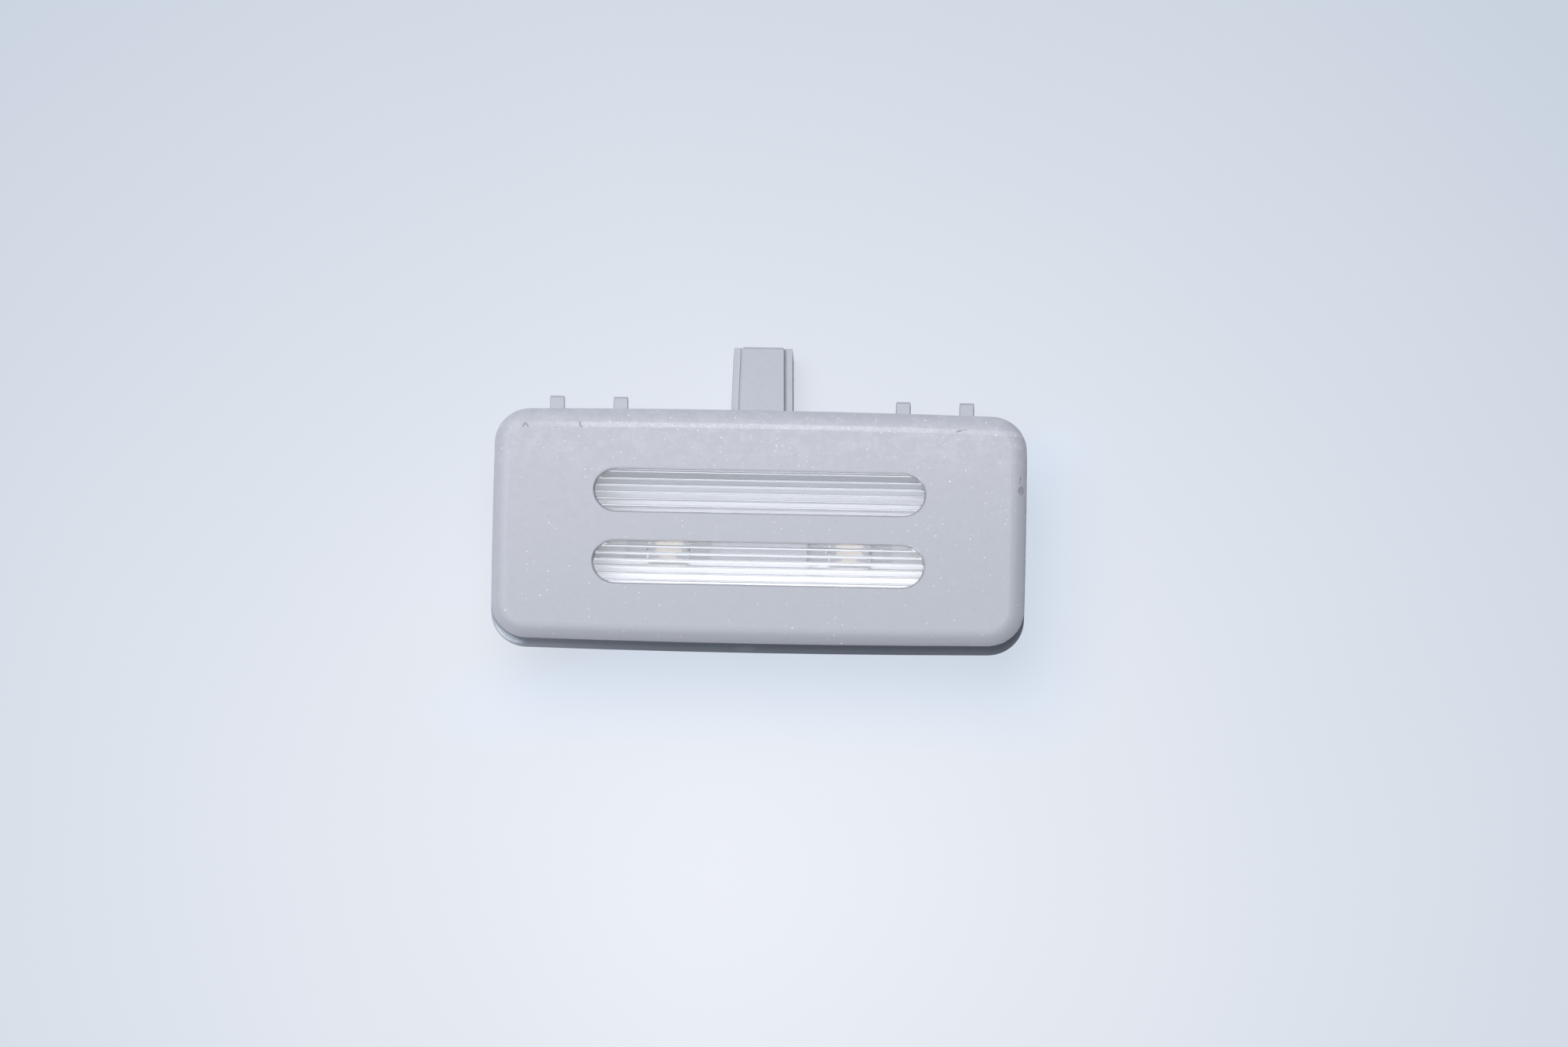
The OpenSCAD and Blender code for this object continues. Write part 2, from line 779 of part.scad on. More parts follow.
// A spring clip of sheet steel: a root on the tray's wall, a bend at its foot and a nose that
// snaps behind the panel
module spring_clip(side) color([0.7, 0.71, 0.73]) {
    root_y = -tray_width / 2 + pocket_depth - clip_thickness / 2;
    difference() {
        across(side * clip_x, clip_width)
            strip([
                [root_y, tray_top - 2.6], [root_y, step_z + 0.75], [root_y - 0.3, step_z + 0.45],
                [-15.6, -3.4], [-15.62, -3.1], [-15.15, -2.45]
            ], clip_thickness);
        translate([side * clip_x, -tray_width / 2 + pocket_depth + 1, clip_stake_z])
            rotate([90, 0, 0])
                cylinder(h = 2, r = clip_stake);
    }
}

bezel();
lens();
reflector();
rear_housing();
circuit_board();
led(-1);  // led_left
led(1);  // led_right
led_phosphor(-1);  // led_left_phosphor
led_phosphor(1);  // led_right_phosphor
resistor(0);  // resistor_1
resistor(1);  // resistor_2
resistor(2);  // resistor_3
resistor(3);  // resistor_4
polarity_diode();
surge_suppressor();
filter_capacitor(0);  // filter_capacitor_1
filter_capacitor(1);  // filter_capacitor_2
terminal_pin(-1);  // terminal_pin_left
terminal_pin(1);  // terminal_pin_right
spring_clip(-1);  // spring_clip_left
spring_clip(1);  // spring_clip_right
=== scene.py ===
"""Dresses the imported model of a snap-in car interior light and sets it on a pale studio floor.

The frame holds every piece at its real size. This script gives each of them its finish, rebuilds the
fluted lens with curves as smooth as the moulded one's, and adds the solder that holds the parts on
the circuit board. Lengths are in millimetres until a mesh or a lamp is made, which are in metres.
"""

import logging
import math
from collections.abc import Iterable, Sequence
from dataclasses import dataclass
from enum import Enum
from functools import cached_property
from typing import Any

import bmesh
import bpy
from mathutils import Matrix, Vector


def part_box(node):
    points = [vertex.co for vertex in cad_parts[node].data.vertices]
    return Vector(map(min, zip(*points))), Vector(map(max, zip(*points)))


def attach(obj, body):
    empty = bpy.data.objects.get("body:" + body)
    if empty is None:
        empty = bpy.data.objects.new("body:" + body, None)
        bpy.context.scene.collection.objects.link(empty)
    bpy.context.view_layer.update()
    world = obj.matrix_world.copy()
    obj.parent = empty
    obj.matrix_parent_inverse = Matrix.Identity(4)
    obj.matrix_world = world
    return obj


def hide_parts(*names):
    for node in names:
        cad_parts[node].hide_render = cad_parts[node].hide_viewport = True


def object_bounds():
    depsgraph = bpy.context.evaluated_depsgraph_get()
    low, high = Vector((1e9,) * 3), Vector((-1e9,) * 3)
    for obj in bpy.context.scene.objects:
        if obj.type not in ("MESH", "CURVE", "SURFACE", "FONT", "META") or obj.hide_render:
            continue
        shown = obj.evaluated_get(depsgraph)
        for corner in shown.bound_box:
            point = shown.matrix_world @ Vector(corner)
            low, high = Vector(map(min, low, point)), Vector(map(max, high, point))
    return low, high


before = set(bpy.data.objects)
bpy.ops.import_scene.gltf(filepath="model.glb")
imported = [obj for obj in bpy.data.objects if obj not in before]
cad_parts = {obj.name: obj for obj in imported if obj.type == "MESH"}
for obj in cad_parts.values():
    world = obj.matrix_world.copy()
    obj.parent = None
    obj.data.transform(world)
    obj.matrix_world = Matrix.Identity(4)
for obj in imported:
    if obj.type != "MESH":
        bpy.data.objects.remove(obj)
CAD_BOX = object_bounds()
LOG = logging.getLogger("car_interior_light")

MM = 0.001
BODY = "root"

Colour = tuple[float, float, float]
Point2 = tuple[float, float]
Point3 = tuple[float, float, float]
Sockets = dict[str | int, Any]
Piece = bpy.types.Object
Material = bpy.types.Material


class Axis(Enum):
    """An axis of the lamp's frame, with its place in a vector."""

    X = 0
    Y = 1
    Z = 2


class Holder(Enum):
    """What a node tree belongs to, with the kind of its output node."""

    MATERIAL = "ShaderNodeOutputMaterial"
    WORLD = "ShaderNodeOutputWorld"


class Join(Enum):
    """How two solids become one."""

    FUSE = "UNION"
    CUT = "DIFFERENCE"


class Wire:
    """A socket of a material, on which arithmetic adds the nodes that work it out."""

    def __init__(self, bench: "Bench", socket: bpy.types.NodeSocket) -> None:
        """Wraps a socket.

        Args:
            bench: The material's node bench.
            socket: The output socket that holds the value.
        """
        self.bench = bench
        self.socket = socket

    @property
    def is_vector(self) -> bool:
        """True if the socket holds a vector or a colour."""
        return self.socket.type in ("VECTOR", "RGBA")

    def apply(self, operation: str, *others: "Wire | float") -> "Wire":
        """Works out one step of arithmetic.

        Args:
            operation: A Math or Vector Math operation.
            others: What stands after this value.

        Returns:
            The result. It is a vector if any operand is one.
        """
        operands = (self, *others)
        vector = any(isinstance(each, Wire) and each.is_vector for each in operands)
        kind = "ShaderNodeVectorMath" if vector else "ShaderNodeMath"
        return self.bench.node(kind, {"operation": operation}, dict(enumerate(operands)))

    def __add__(self, other: "Wire | float") -> "Wire":
        """Returns the sum."""
        return self.apply("ADD", other)

    def __sub__(self, other: "Wire | float") -> "Wire":
        """Returns the difference."""
        return self.apply("SUBTRACT", other)

    def __rsub__(self, other: float) -> "Wire":
        """Returns a number less this value."""
        return self.bench.number(other).apply("SUBTRACT", self)

    def __mul__(self, other: "Wire | float") -> "Wire":
        """Returns the product."""
        return self.apply("MULTIPLY", other)

    def __truediv__(self, other: "Wire | float") -> "Wire":
        """Returns the quotient."""
        return self.apply("DIVIDE", other)

    __radd__ = __add__
    __rmul__ = __mul__

    def __abs__(self) -> "Wire":
        """Returns the value without its sign."""
        return self.apply("ABSOLUTE")

    def least(self, other: "Wire | float") -> "Wire":
        """Returns the lower of two values."""
        return self.apply("MINIMUM", other)

    def most(self, other: "Wire | float") -> "Wire":
        """Returns the higher of two values."""
        return self.apply("MAXIMUM", other)

    def part(self, axis: Axis) -> "Wire":
        """Returns one part of a vector."""
        return self.bench.node("ShaderNodeSeparateXYZ", {}, {0: self}, axis.value)

    def length(self) -> "Wire":
        """Returns the length of a vector."""
        return self.bench.node("ShaderNodeVectorMath", {"operation": "LENGTH"}, {0: self}, "Value")

    def rise(self, low: float, high: float) -> "Wire":
        """Turns the value into a mask.

        Args:
            low: The value at which the mask is 0.
            high: The value at which the mask is 1. It may be the lower of the two.

        Returns:
            A mask from 0 to 1, smooth at both ends.
        """
        inputs = {"Value": self, "From Min": low, "From Max": high}
        return self.bench.node("ShaderNodeMapRange", {"interpolation_type": "SMOOTHSTEP"}, inputs)

    def between(self, low: float, high: float) -> "Wire":
        """Turns a share into a value: low where it is 0 and high where it is 1."""
        return self * (high - low) + low


class Bench:
    """The nodes of one material or world, and the methods that add to them."""

    def __init__(self, name: str, holder: Holder = Holder.MATERIAL) -> None:
        """Makes an empty material or world.

        Args:
            name: Its name.
            holder: Which of the two it is.
        """
        self.holder = holder
        made = bpy.data.materials if holder is Holder.MATERIAL else bpy.data.worlds
        self.made = made.new(name)
        self.made.use_nodes = True
        self.tree = self.made.node_tree
        self.tree.nodes.clear()

    def node(self, kind: str, settings: dict[str, Any], inputs: Sockets,
             output: str | int = 0) -> Wire:
        """Adds a node.

        Args:
            kind: Blender's name of the node's type.
            settings: The node's properties, which are set first.
            inputs: A value, a colour or a wire for each socket, by name or number.
            output: The output socket to return, by name or number.

        Returns:
            The output as a wire.
        """
        made = self.tree.nodes.new(kind)
        for name, value in settings.items():
            setattr(made, name, value)
        for name, value in inputs.items():
            self.feed(made.inputs[name], value)
        return Wire(self, made.outputs[output])

    def feed(self, socket: bpy.types.NodeSocket, value: Any) -> None:
        """Sets or links one input socket.

        Args:
            socket: The input.
            value: A wire, a number or a tuple. A number fills all parts of a vector.
        """
        if isinstance(value, Wire):
            self.tree.links.new(value.socket, socket)
        elif socket.type == "RGBA":
            socket.default_value = (*value, 1.0)
        elif socket.type == "VECTOR" and isinstance(value, (int, float)):
            socket.default_value = (value, value, value)
        else:
            socket.default_value = value

    def number(self, value: float) -> Wire:
        """Makes a wire of a number.

        Args:
            value: The number.

        Returns:
            The wire.
        """
        made = self.tree.nodes.new("ShaderNodeValue")
        made.outputs[0].default_value = value
        return Wire(self, made.outputs[0])

    def vector(self, x: float, y: float, z: float) -> Wire:
        """Returns a vector as a wire."""
        return self.node("ShaderNodeCombineXYZ", {}, {0: x, 1: y, 2: z})

    @cached_property
    def place(self) -> Wire:
        """The place on the surface in the lamp's frame, in millimetres."""
        return self.node("ShaderNodeTexCoord", {}, {}, "Object") * (1 / MM)

    def rays(self, *kinds: str) -> Wire:
        """Tells rays of the given kinds from all others.

        Args:
            kinds: Outputs of the Light Path node, such as Is Camera Ray.

        Returns:
            1 for the given kinds and 0 for the others.
        """
        path = [self.node("ShaderNodeLightPath", {}, {}, kind) for kind in kinds]
        found = path[0]
        for kind in path[1:]:
            found = found.most(kind)
        return found

    def either(self, mask: Wire | float, first: Wire, second: Wire) -> Wire:
        """Returns the first shader where the mask is 0 and the second where it is 1."""
        return self.node("ShaderNodeMixShader", {}, {0: mask, 1: first, 2: second})

    def noise(self, grain: float, detail: float = 2.0, roughness: float = 0.5,
              stretch: Point3 | None = None) -> Wire:
        """Adds soft noise.

        Args:
            grain: The size of its lumps in millimetres.
            detail: How many finer layers it has.
            roughness: How strong the finer layers are.
            stretch: How fast it runs along each axis, if not the same along all.

        Returns:
            Values about 0.5.
        """
        place = self.place if stretch is None else self.place * self.vector(*stretch)
        inputs = {"Vector": place, "Scale": 1 / grain, "Detail": detail, "Roughness": roughness}
        return self.node("ShaderNodeTexNoise", {}, inputs, 0)

    def mix(self, mask: Wire, first: Wire | Colour, second: Wire | Colour) -> Wire:
        """Mixes two colours.

        Args:
            mask: 0 for the first and 1 for the second.
            first: A colour.
            second: A colour.

        Returns:
            The mixed colour.
        """
        return self.node("ShaderNodeMix", {"data_type": "RGBA"}, {0: mask, 6: first, 7: second}, 2)

    def bump(self, height: Wire, depth: float, under: Wire | None = None) -> Wire:
        """Turns a height into a normal.

        Args:
            height: The height as a share of the depth.
            depth: The depth in millimetres.
            under: A normal that this one goes on top of.

        Returns:
            The normal.
        """
        inputs: Sockets = {"Height": height, "Distance": depth * MM, "Strength": 1.0}
        if under is not None:
            inputs["Normal"] = under
        return self.node("ShaderNodeBump", {}, inputs)

    def principled(self, sockets: Sockets) -> Wire:
        """Returns a Principled shader with these values."""
        return self.node("ShaderNodeBsdfPrincipled", {}, sockets)

    def surface(self, sockets: Sockets) -> Material:
        """Returns the finished material, which is one Principled shader with these values."""
        return self.finish(self.principled(sockets))

    def finish(self, shader: Wire) -> Material | bpy.types.World:
        """Puts a shader on the surface.

        Args:
            shader: The shader to show.

        Returns:
            The finished material or world.
        """
        output = self.tree.nodes.new(self.holder.value)
        self.tree.links.new(shader.socket, output.inputs["Surface"])
        return self.made


@dataclass(frozen=True)
class PhotoView:
    """Where the photograph was taken from: far off with a long lens, high over the long side."""

    width_px: int = 2000
    height_px: int = 1335
    mm_per_px: float = 0.1116
    face_middle_px: Point2 = (968.3, 669.4)
    lean_back: float = 16.0
    lean_right: float = 0.4
    roll: float = 1.15
    distance: float = 6000.0
    sensor: float = 36.0

    @property
    def back(self) -> Vector:
        """The way from the lamp to the camera."""
        tangents = (math.tan(math.radians(self.lean_right)), -math.tan(math.radians(self.lean_back)), 1.0)
        return Vector(tangents).normalized()

    @property
    def up(self) -> Vector:
        """The way that is up in the photograph."""
        turn = math.radians(self.roll)
        hint = Vector((-math.sin(turn), math.cos(turn), 0.0))
        return (hint - hint.dot(self.back) * self.back).normalized()

    @property
    def right(self) -> Vector:
        """The way that is right in the photograph."""
        return self.up.cross(self.back)

    def find(self, pixel: Point2, face_middle: Vector, height: float) -> Point2:
        """Finds the place on the lamp that a pixel of the photograph shows.

        Args:
            pixel: The pixel, in the photograph's own frame.
            face_middle: The middle of the lamp's face, in millimetres.
            height: The height of the place above the lamp's origin.

        Returns:
            The place's X and Y in millimetres.
        """
        across = (pixel[0] - self.face_middle_px[0]) * self.mm_per_px
        above = (self.face_middle_px[1] - pixel[1]) * self.mm_per_px
        start = face_middle + across * self.right + above * self.up
        place = start + self.back * ((height - start.z) / self.back.z)
        return place.x, place.y

    def place_camera(self, face_middle: Vector) -> Piece:
        """Makes the camera.

        Args:
            face_middle: The middle of the lamp's face, in millimetres.

        Returns:
            The camera, which is the scene's own.
        """
        across = (self.width_px / 2 - self.face_middle_px[0]) * self.mm_per_px
        below = (self.height_px / 2 - self.face_middle_px[1]) * self.mm_per_px
        target = face_middle + across * self.right - below * self.up
        data = bpy.data.cameras.new("photo_camera")
        data.sensor_width = self.sensor
        data.lens = self.sensor * self.distance / (self.width_px * self.mm_per_px)
        data.clip_start = 0.01
        data.clip_end = 20.0
        camera = bpy.data.objects.new("photo_camera", data)
        axes = Matrix((self.right, self.up, self.back)).transposed()
        camera.matrix_world = Matrix.Translation((target + self.back * self.distance) * MM) @ axes.to_4x4()
        bpy.context.scene.collection.objects.link(camera)
        bpy.context.scene.camera = camera
        return camera


@dataclass(frozen=True)
class Paper:
    """The floor: smooth white paper, with painted light: brightest in front of the lamp, dimmer all round.

    The camera sees it white and its shadows pale, and cool where a painted shadow tint lies near the
    lamp, as in a photograph that is exposed for a white ground. The light that it sends back to the
    lamp is painted weak in front and on the right, as shade, and full on the left and behind.
    """

    bright: Colour = (0.86, 0.89, 0.945)
    dim: Colour = (0.59, 0.65, 0.745)
    bright_at: Point2 = (-4.0, -45.0)
    reach: float = 170.0
    lit_share: float = 0.2
    shaded_bounce: Colour = (0.108, 0.126, 0.162)
    open_bounce: Colour = (0.85, 0.9, 0.96)
    shade_edge: Point2 = (6.0, 26.0)
    lamp_half: Point3 = (38.0, 17.0, 12.0)
    shade_reach: float = 15.0
    shade_front: Point2 = (-6.0, 6.0)
    shade_tint: Colour = (0.968, 1.016, 1.07)
    cloud_size: float = 60.0
    cloud_depth: float = 0.08
    roughness: float = 0.9

    def matt(self, bench: Bench, colour: Wire) -> Wire:
        """Returns a shader of this colour without any gloss."""
        return bench.principled({"Base Color": colour, "Roughness": self.roughness,
                                 "Specular IOR Level": 0.0})

    def material(self) -> Material:
        """Returns the finished material."""
        bench = Bench("white_paper")
        place = bench.place
        x, y = place.part(Axis.X), place.part(Axis.Y)
        # Painted pool of light: the paper fades from bright in front of the lamp to dim farther off.
        away = (place - bench.vector(*self.bright_at, 0.0)).length() / self.reach
        cloud = (bench.noise(self.cloud_size, 1.0) - 0.5) * self.cloud_depth
        colour = bench.mix((away + cloud).least(1.0), self.bright, self.dim)
        # Painted shadow: a cool tint on the paper by the lamp's front and right side.
        beyond = (abs(place) - bench.vector(*self.lamp_half)).most(0.0).length()
        front = (x * 0.5 - y).rise(*self.shade_front)
        near = beyond.rise(self.shade_reach, 0.0) * front
        colour = bench.mix(near, colour, colour * bench.vector(*self.shade_tint))
        lit = self.matt(bench, colour)
        white = bench.node("ShaderNodeEmission", {}, {"Color": colour, "Strength": 1.0})
        seen = bench.either(self.lit_share, white, lit)
        # Painted shade in the light sent back: weak in front and on the right, full on the left and behind.
        side = (y * 0.6 - x).rise(*self.shade_edge)
        back = self.matt(bench, bench.mix(side, self.shaded_bounce, self.open_bounce))
        unseen = bench.either(bench.rays("Is Glossy Ray"), back, lit)
        return bench.finish(bench.either(bench.rays("Is Camera Ray", "Is Transmission Ray"), unseen, seen))


@dataclass(frozen=True)
class Mark:
    """A small patch on the bezel: a scratch, a dent or a brighter spot of the skirt."""

    pixel: Point2
    size: Point2
    height: float
    depth: float
    shade: float
    turn: float = 0.0


@dataclass(frozen=True)
class GrainedPlastic:
    """A pale moulding with the fine even grain that spark erosion leaves in its mould."""

    name: str
    colour: Colour
    shade: Colour
    roughness: float = 0.46
    grain: float = 0.16
    grain_depth: float = 0.012
    roughness_spread: float = 0.16
    edge_radius: float = 0.08
    edge_samples: int = 4
    gloss: float = 0.5

    def base(self, bench: Bench) -> Wire:
        """Returns the colour, cloudy as moulded plastic is."""
        return bench.mix(bench.noise(1.1, 4.0, 0.6).rise(0.3, 0.7), self.colour, self.shade)

    def normal(self, bench: Bench) -> Wire:
        """Works out the normal, with soft edges and the mould's grain.

        Args:
            bench: The material's bench.

        Returns:
            The normal.
        """
        radius = {"Radius": self.edge_radius * MM}
        soft = bench.node("ShaderNodeBevel", {"samples": self.edge_samples}, radius)
        return bench.bump(bench.noise(self.grain, 2.0, 0.7), self.grain_depth, soft)

    def rough(self, bench: Bench) -> Wire:
        """Returns the roughness, which varies a little from place to place."""
        half = self.roughness_spread / 2
        return bench.noise(0.5, 3.0).between(self.roughness - half, self.roughness + half)

    def material(self) -> Material:
        """Returns the finished material."""
        bench = Bench(self.name)
        return bench.surface({"Base Color": self.base(bench), "Roughness": self.rough(bench),
                              "Specular IOR Level": self.gloss, "Normal": self.normal(bench)})


@dataclass(frozen=True)
class WornPlastic(GrainedPlastic):
    """The bezel's plastic: grain tips with painted glints, small pits, a rubbed ridge and pale chips
    that carry painted highlights, a painted sheen, and marks.

    Some of its shades stand in for the photograph's uneven light: the darker front of the face, the
    paler foot of the skirt, the bright mark on the skirt's corner and the windows' front edges.
    """

    crease: float = 4.7
    crease_blur: float = 0.1
    # Painted shade: the face darkens towards its front and right.
    front_shade: Colour = (0.414, 0.44, 0.5)
    front_shade_from: Point2 = (-14.0, 19.0)
    rounded_below: Point2 = (5.45, 5.1)
    # Painted light: the skirt grows paler towards its foot.
    skirt: Colour = (0.80, 0.85, 0.93)
    skirt_below: Point2 = (3.8, 0.8)
    skirt_share: float = 0.8
    skirt_matt: float = 0.45
    skirt_matt_reach: float = 0.3
    # Painted sheen: pale clouds on the face towards the ridge.
    sheen: Colour = (0.70, 0.72, 0.78)
    sheen_from: Point2 = (6.0, 12.0)
    sheen_share: float = 0.16
    # The ridge is rubbed and carries a painted highlight.
    ridge: Colour = (0.80, 0.82, 0.88)
    ridge_share: float = 0.5
    ridge_y: float = 14.6
    ridge_width: Point2 = (0.2, 0.5)
    ridge_wander: float = 0.08
    ridge_radius: float = 1780.0
    ridge_left: Point2 = (-30.0, -24.0)
    ridge_right: Point2 = (30.0, 16.0)
    ridge_polish: float = 0.08
    # Painted light on the windows' edges that face the front.
    window_edge: Colour = (0.86, 0.88, 0.94)
    window_edge_share: float = 0.8
    # Pale chips along the crease, with painted glints.
    chip_glint: Colour = (0.86, 0.88, 0.92)
    chip_glint_width: Point2 = (0.09, 0.03)
    chip_glint_corner: Point2 = (26.0, 33.0)
    speck_spacing: float = 1.0
    speck_share: Point2 = (0.15, 0.65)
    speck_size: Point2 = (0.07, 0.13)
    speck_blur: float = 0.04
    # Painted glints on the grain tips.
    glint: Colour = (0.98, 0.98, 1.0)
    glint_strength: Point2 = (0.2, 0.75)
    glint_polish: float = 0.2
    pit: Colour = (0.30, 0.32, 0.34)
    pit_share: float = 0.05
    pit_strength: float = 0.5
    lowest_roughness: float = 0.15
    marks: tuple[Mark, ...] = ()
    view: PhotoView = PhotoView()
    face_middle: Point3 = (0.0, 0.0, 5.75)

    def specks(self, bench: Bench) -> tuple[Wire, Wire]:
        """Scatters specks, most of them near the ridge.

        Args:
            bench: The material's bench.

        Returns:
            A mask of the painted glints on grain tips and a mask of the pits.
        """
        x, y, z = (bench.place.part(axis) for axis in Axis)
        inputs = {"Vector": bench.place, "Scale": 1 / self.speck_spacing, "Randomness": 1.0}
        cells = {"voronoi_dimensions": "2D", "feature": "F1"}
        near = bench.node("ShaderNodeTexVoronoi", cells, inputs, "Distance")
        chances = bench.node("ShaderNodeTexVoronoi", cells, inputs, "Color")
        chance, width, strength = (chances.part(axis) for axis in Axis)
        beside = abs(y - self.ridge_y).rise(1.8, 0.2)
        toward = y.rise(-10.0, 12.0) * x.rise(-30.0, -5.0)
        crowd = (bench.noise(7.0, 2.0).rise(0.3, 0.6) * toward).most(beside)
        kept = (crowd.between(*self.speck_share) - chance).rise(0.0, 0.02)
        dot = (width.between(*self.speck_size) - near).rise(0.0, self.speck_blur)
        dot = dot * z.rise(self.crease, self.crease + self.crease_blur)
        pitted = (chance - (1.0 - self.pit_share)).rise(0.0, 0.01)
        return dot * kept * (strength * strength).between(*self.glint_strength), dot * pitted

    def rubbed_highlight(self, bench: Bench) -> Wire:
        """Finds the rubbed ridge with its painted highlight, where the face meets the rounded edge behind
        it.

        Args:
            bench: The material's bench.

        Returns:
            A mask.
        """
        x = bench.place.part(Axis.X)
        bow = x * x / (2 * self.ridge_radius)
        wander = (bench.noise(1.2, 3.0) - 0.5) * self.ridge_wander
        full, faded = self.ridge_width
        band = abs(bench.place.part(Axis.Y) + bow + wander - self.ridge_y).rise(faded, full)
        ends = x.rise(*self.ridge_left) * x.rise(*self.ridge_right).between(0.4, 1.0)
        patchy = bench.noise(0.45, 3.0, 0.7).rise(0.4, 0.68)
        return band * ends.between(0.25, 1.0) * patchy.between(0.4, 1.0)

    def chips(self, bench: Bench) -> Wire:
        """Scatters pale chips with painted highlights along the crease, most of them at one corner.

        Args:
            bench: The material's bench.

        Returns:
            A mask.
        """
        x, y, z = (bench.place.part(axis) for axis in Axis)
        line = abs(z - self.crease).rise(*self.chip_glint_width)
        corner = (x - y * 0.4).rise(*self.chip_glint_corner)
        return line * bench.noise(0.6, 3.0, 0.7).rise(0.42, 0.66) * corner.between(0.08, 0.78)

    def window_edges(self, bench: Bench) -> Wire:
        """Finds the windows' edges that face the front, where light is painted.

        Args:
            bench: The material's bench.

        Returns:
            A mask.
        """
        facing = bench.node("ShaderNodeTexCoord", {}, {}, "Normal").part(Axis.Y).rise(-0.3, -0.55)
        inside = abs(bench.place.part(Axis.Y)).rise(12.0, 11.0) * bench.place.part(Axis.Z).rise(4.0, 4.3)
        return facing * inside

    def mark_mask(self, bench: Bench, mark: Mark) -> Wire:
        """Finds one mark.

        Args:
            bench: The material's bench.
            mark: The mark.

        Returns:
            A mask.
        """
        x, y = self.view.find(mark.pixel, Vector(self.face_middle), mark.height)
        away = bench.place - bench.vector(x, y, mark.height)
        turned = bench.node("ShaderNodeVectorRotate", {"rotation_type": "Z_AXIS"},
                            {"Vector": away, "Angle": -math.radians(mark.turn)})
        ragged = (bench.noise(0.25, 2.0) - 0.5) * 0.5
        return ((turned / bench.vector(*mark.size, 2.0)).length() + ragged).rise(1.0, 0.55)

    def material(self) -> Material:
        """Returns the finished material."""
        bench = Bench(self.name)
        x, y, z = (bench.place.part(axis) for axis in Axis)
        glints, pits = self.specks(bench)
        rubbed_highlight = self.rubbed_highlight(bench)
        sheen = y.rise(*self.sheen_from) * bench.noise(1.6, 4.0, 0.65).rise(0.42, 0.62)
        rounded = z.rise(*self.rounded_below) * z.rise(self.crease, self.crease + self.crease_blur)
        colour = self.base(bench)
        for mask, shade in (
            # Painted shade towards the face's front.
            ((x * 0.15 - y).rise(*self.front_shade_from) * (1.0 - rounded), self.front_shade),
            # Painted light on the skirt's foot.
            (z.rise(*self.skirt_below) * self.skirt_share, self.skirt),
            # Painted sheen.
            (sheen * self.sheen_share, self.sheen),
            # Rubbed ridge with a painted highlight.
            (rubbed_highlight * self.ridge_share, self.ridge),
            # Painted light on the windows' front edges.
            (self.window_edges(bench) * self.window_edge_share, self.window_edge),
            # Pale chips with painted glints.
            (self.chips(bench), self.chip_glint),
            (pits * self.pit_strength, self.pit),
            # Painted glints.
            (glints, self.glint),
        ):
            colour = bench.mix(mask, colour, shade)
        normal = self.normal(bench)
        for mark in self.marks:
            mask = self.mark_mask(bench, mark)
            colour = bench.mix(mask, colour, colour * mark.shade)
            normal = bench.bump(1.0 - mask, mark.depth, normal)
        matt = z.rise(self.crease + self.crease_blur, self.crease - self.skirt_matt_reach)
        rough = self.rough(bench) + matt * self.skirt_matt - rubbed_highlight * self.ridge_polish
        rough = (rough - glints * self.glint_polish).most(self.lowest_roughness)
        return bench.surface({"Base Color": colour, "Roughness": rough,
                              "Specular IOR Level": self.gloss, "Normal": normal})


@dataclass(frozen=True)
class ClearMoulding:
    """Clear plastic, with hairline scratches on its outer face. It lets lamps shine through it."""

    name: str = "clear_acrylic"
    tint: Colour = (0.975, 0.975, 1.0)
    shadow: Colour = (0.9, 0.91, 0.92)
    refraction: float = 1.49
    roughness: Point2 = (0.02, 0.05)
    scratch_depth: float = 0.0002

    def material(self) -> Material:
        """Returns the finished material."""
        bench = Bench(self.name)
        drawn = bench.noise(0.4, 1.0, stretch=(0.03, 1.0, 1.0))
        scuffs = bench.noise(3.5, 3.0).rise(0.5, 0.75)
        glass = bench.principled({
            "Base Color": self.tint, "Roughness": scuffs.between(*self.roughness), "IOR": self.refraction,
            "Transmission Weight": 1.0, "Normal": bench.bump(drawn, self.scratch_depth)})
        clear = bench.node("ShaderNodeBsdfTransparent", {}, {"Color": self.shadow})
        return bench.finish(bench.either(bench.rays("Is Shadow Ray"), glass, clear))


@dataclass(frozen=True)
class BrightReflector:
    """The reflector's plastic: bright on its curved walls, with painted shade on its flat floor.

    The wall by the connector carries painted shade, darker towards its top. All of this follows the
    tones that the photograph shows through the flutes.
    """

    name: str = "satin_reflector"
    colour: Colour = (0.86, 0.855, 0.88)
    # Painted shade: on the flat floor, on the wall by the connector and darkest at that wall's rim.
    floor_shade: Colour = (0.315, 0.32, 0.355)
    wall: Colour = (0.33, 0.35, 0.4)
    wall_from: Point2 = (2.5, 7.8)
    rim: Colour = (0.185, 0.205, 0.245)
    rim_from: Point2 = (6.7, 7.9)
    floor_middle: float = 0.65
    floor_half: float = 3.85
    floor_blur: float = 0.15
    roughness: float = 0.34
    roughness_spread: float = 0.12

    def material(self) -> Material:
        """Returns the finished material."""
        bench = Bench(self.name)
        across = bench.place.part(Axis.Y)
        cloud = bench.noise(3.0, 2.0)
        outer, inner = self.floor_half + self.floor_blur, self.floor_half - self.floor_blur
        floor = abs(across - self.floor_middle).rise(outer, inner)
        # Painted shade on the wall by the connector, darker at its rim, and on the flat floor.
        colour = bench.mix(across.rise(*self.wall_from), self.colour, self.wall)
        colour = bench.mix(across.rise(*self.rim_from), colour, self.rim)
        colour = bench.mix((floor * 0.92 + cloud * 0.08).least(1.0), colour, self.floor_shade)
        half = self.roughness_spread / 2
        rough = cloud.between(self.roughness - half, self.roughness + half)
        return bench.surface({"Base Color": colour, "Roughness": rough,
                              "Normal": bench.bump(bench.noise(1.6, 2.0), 0.003)})


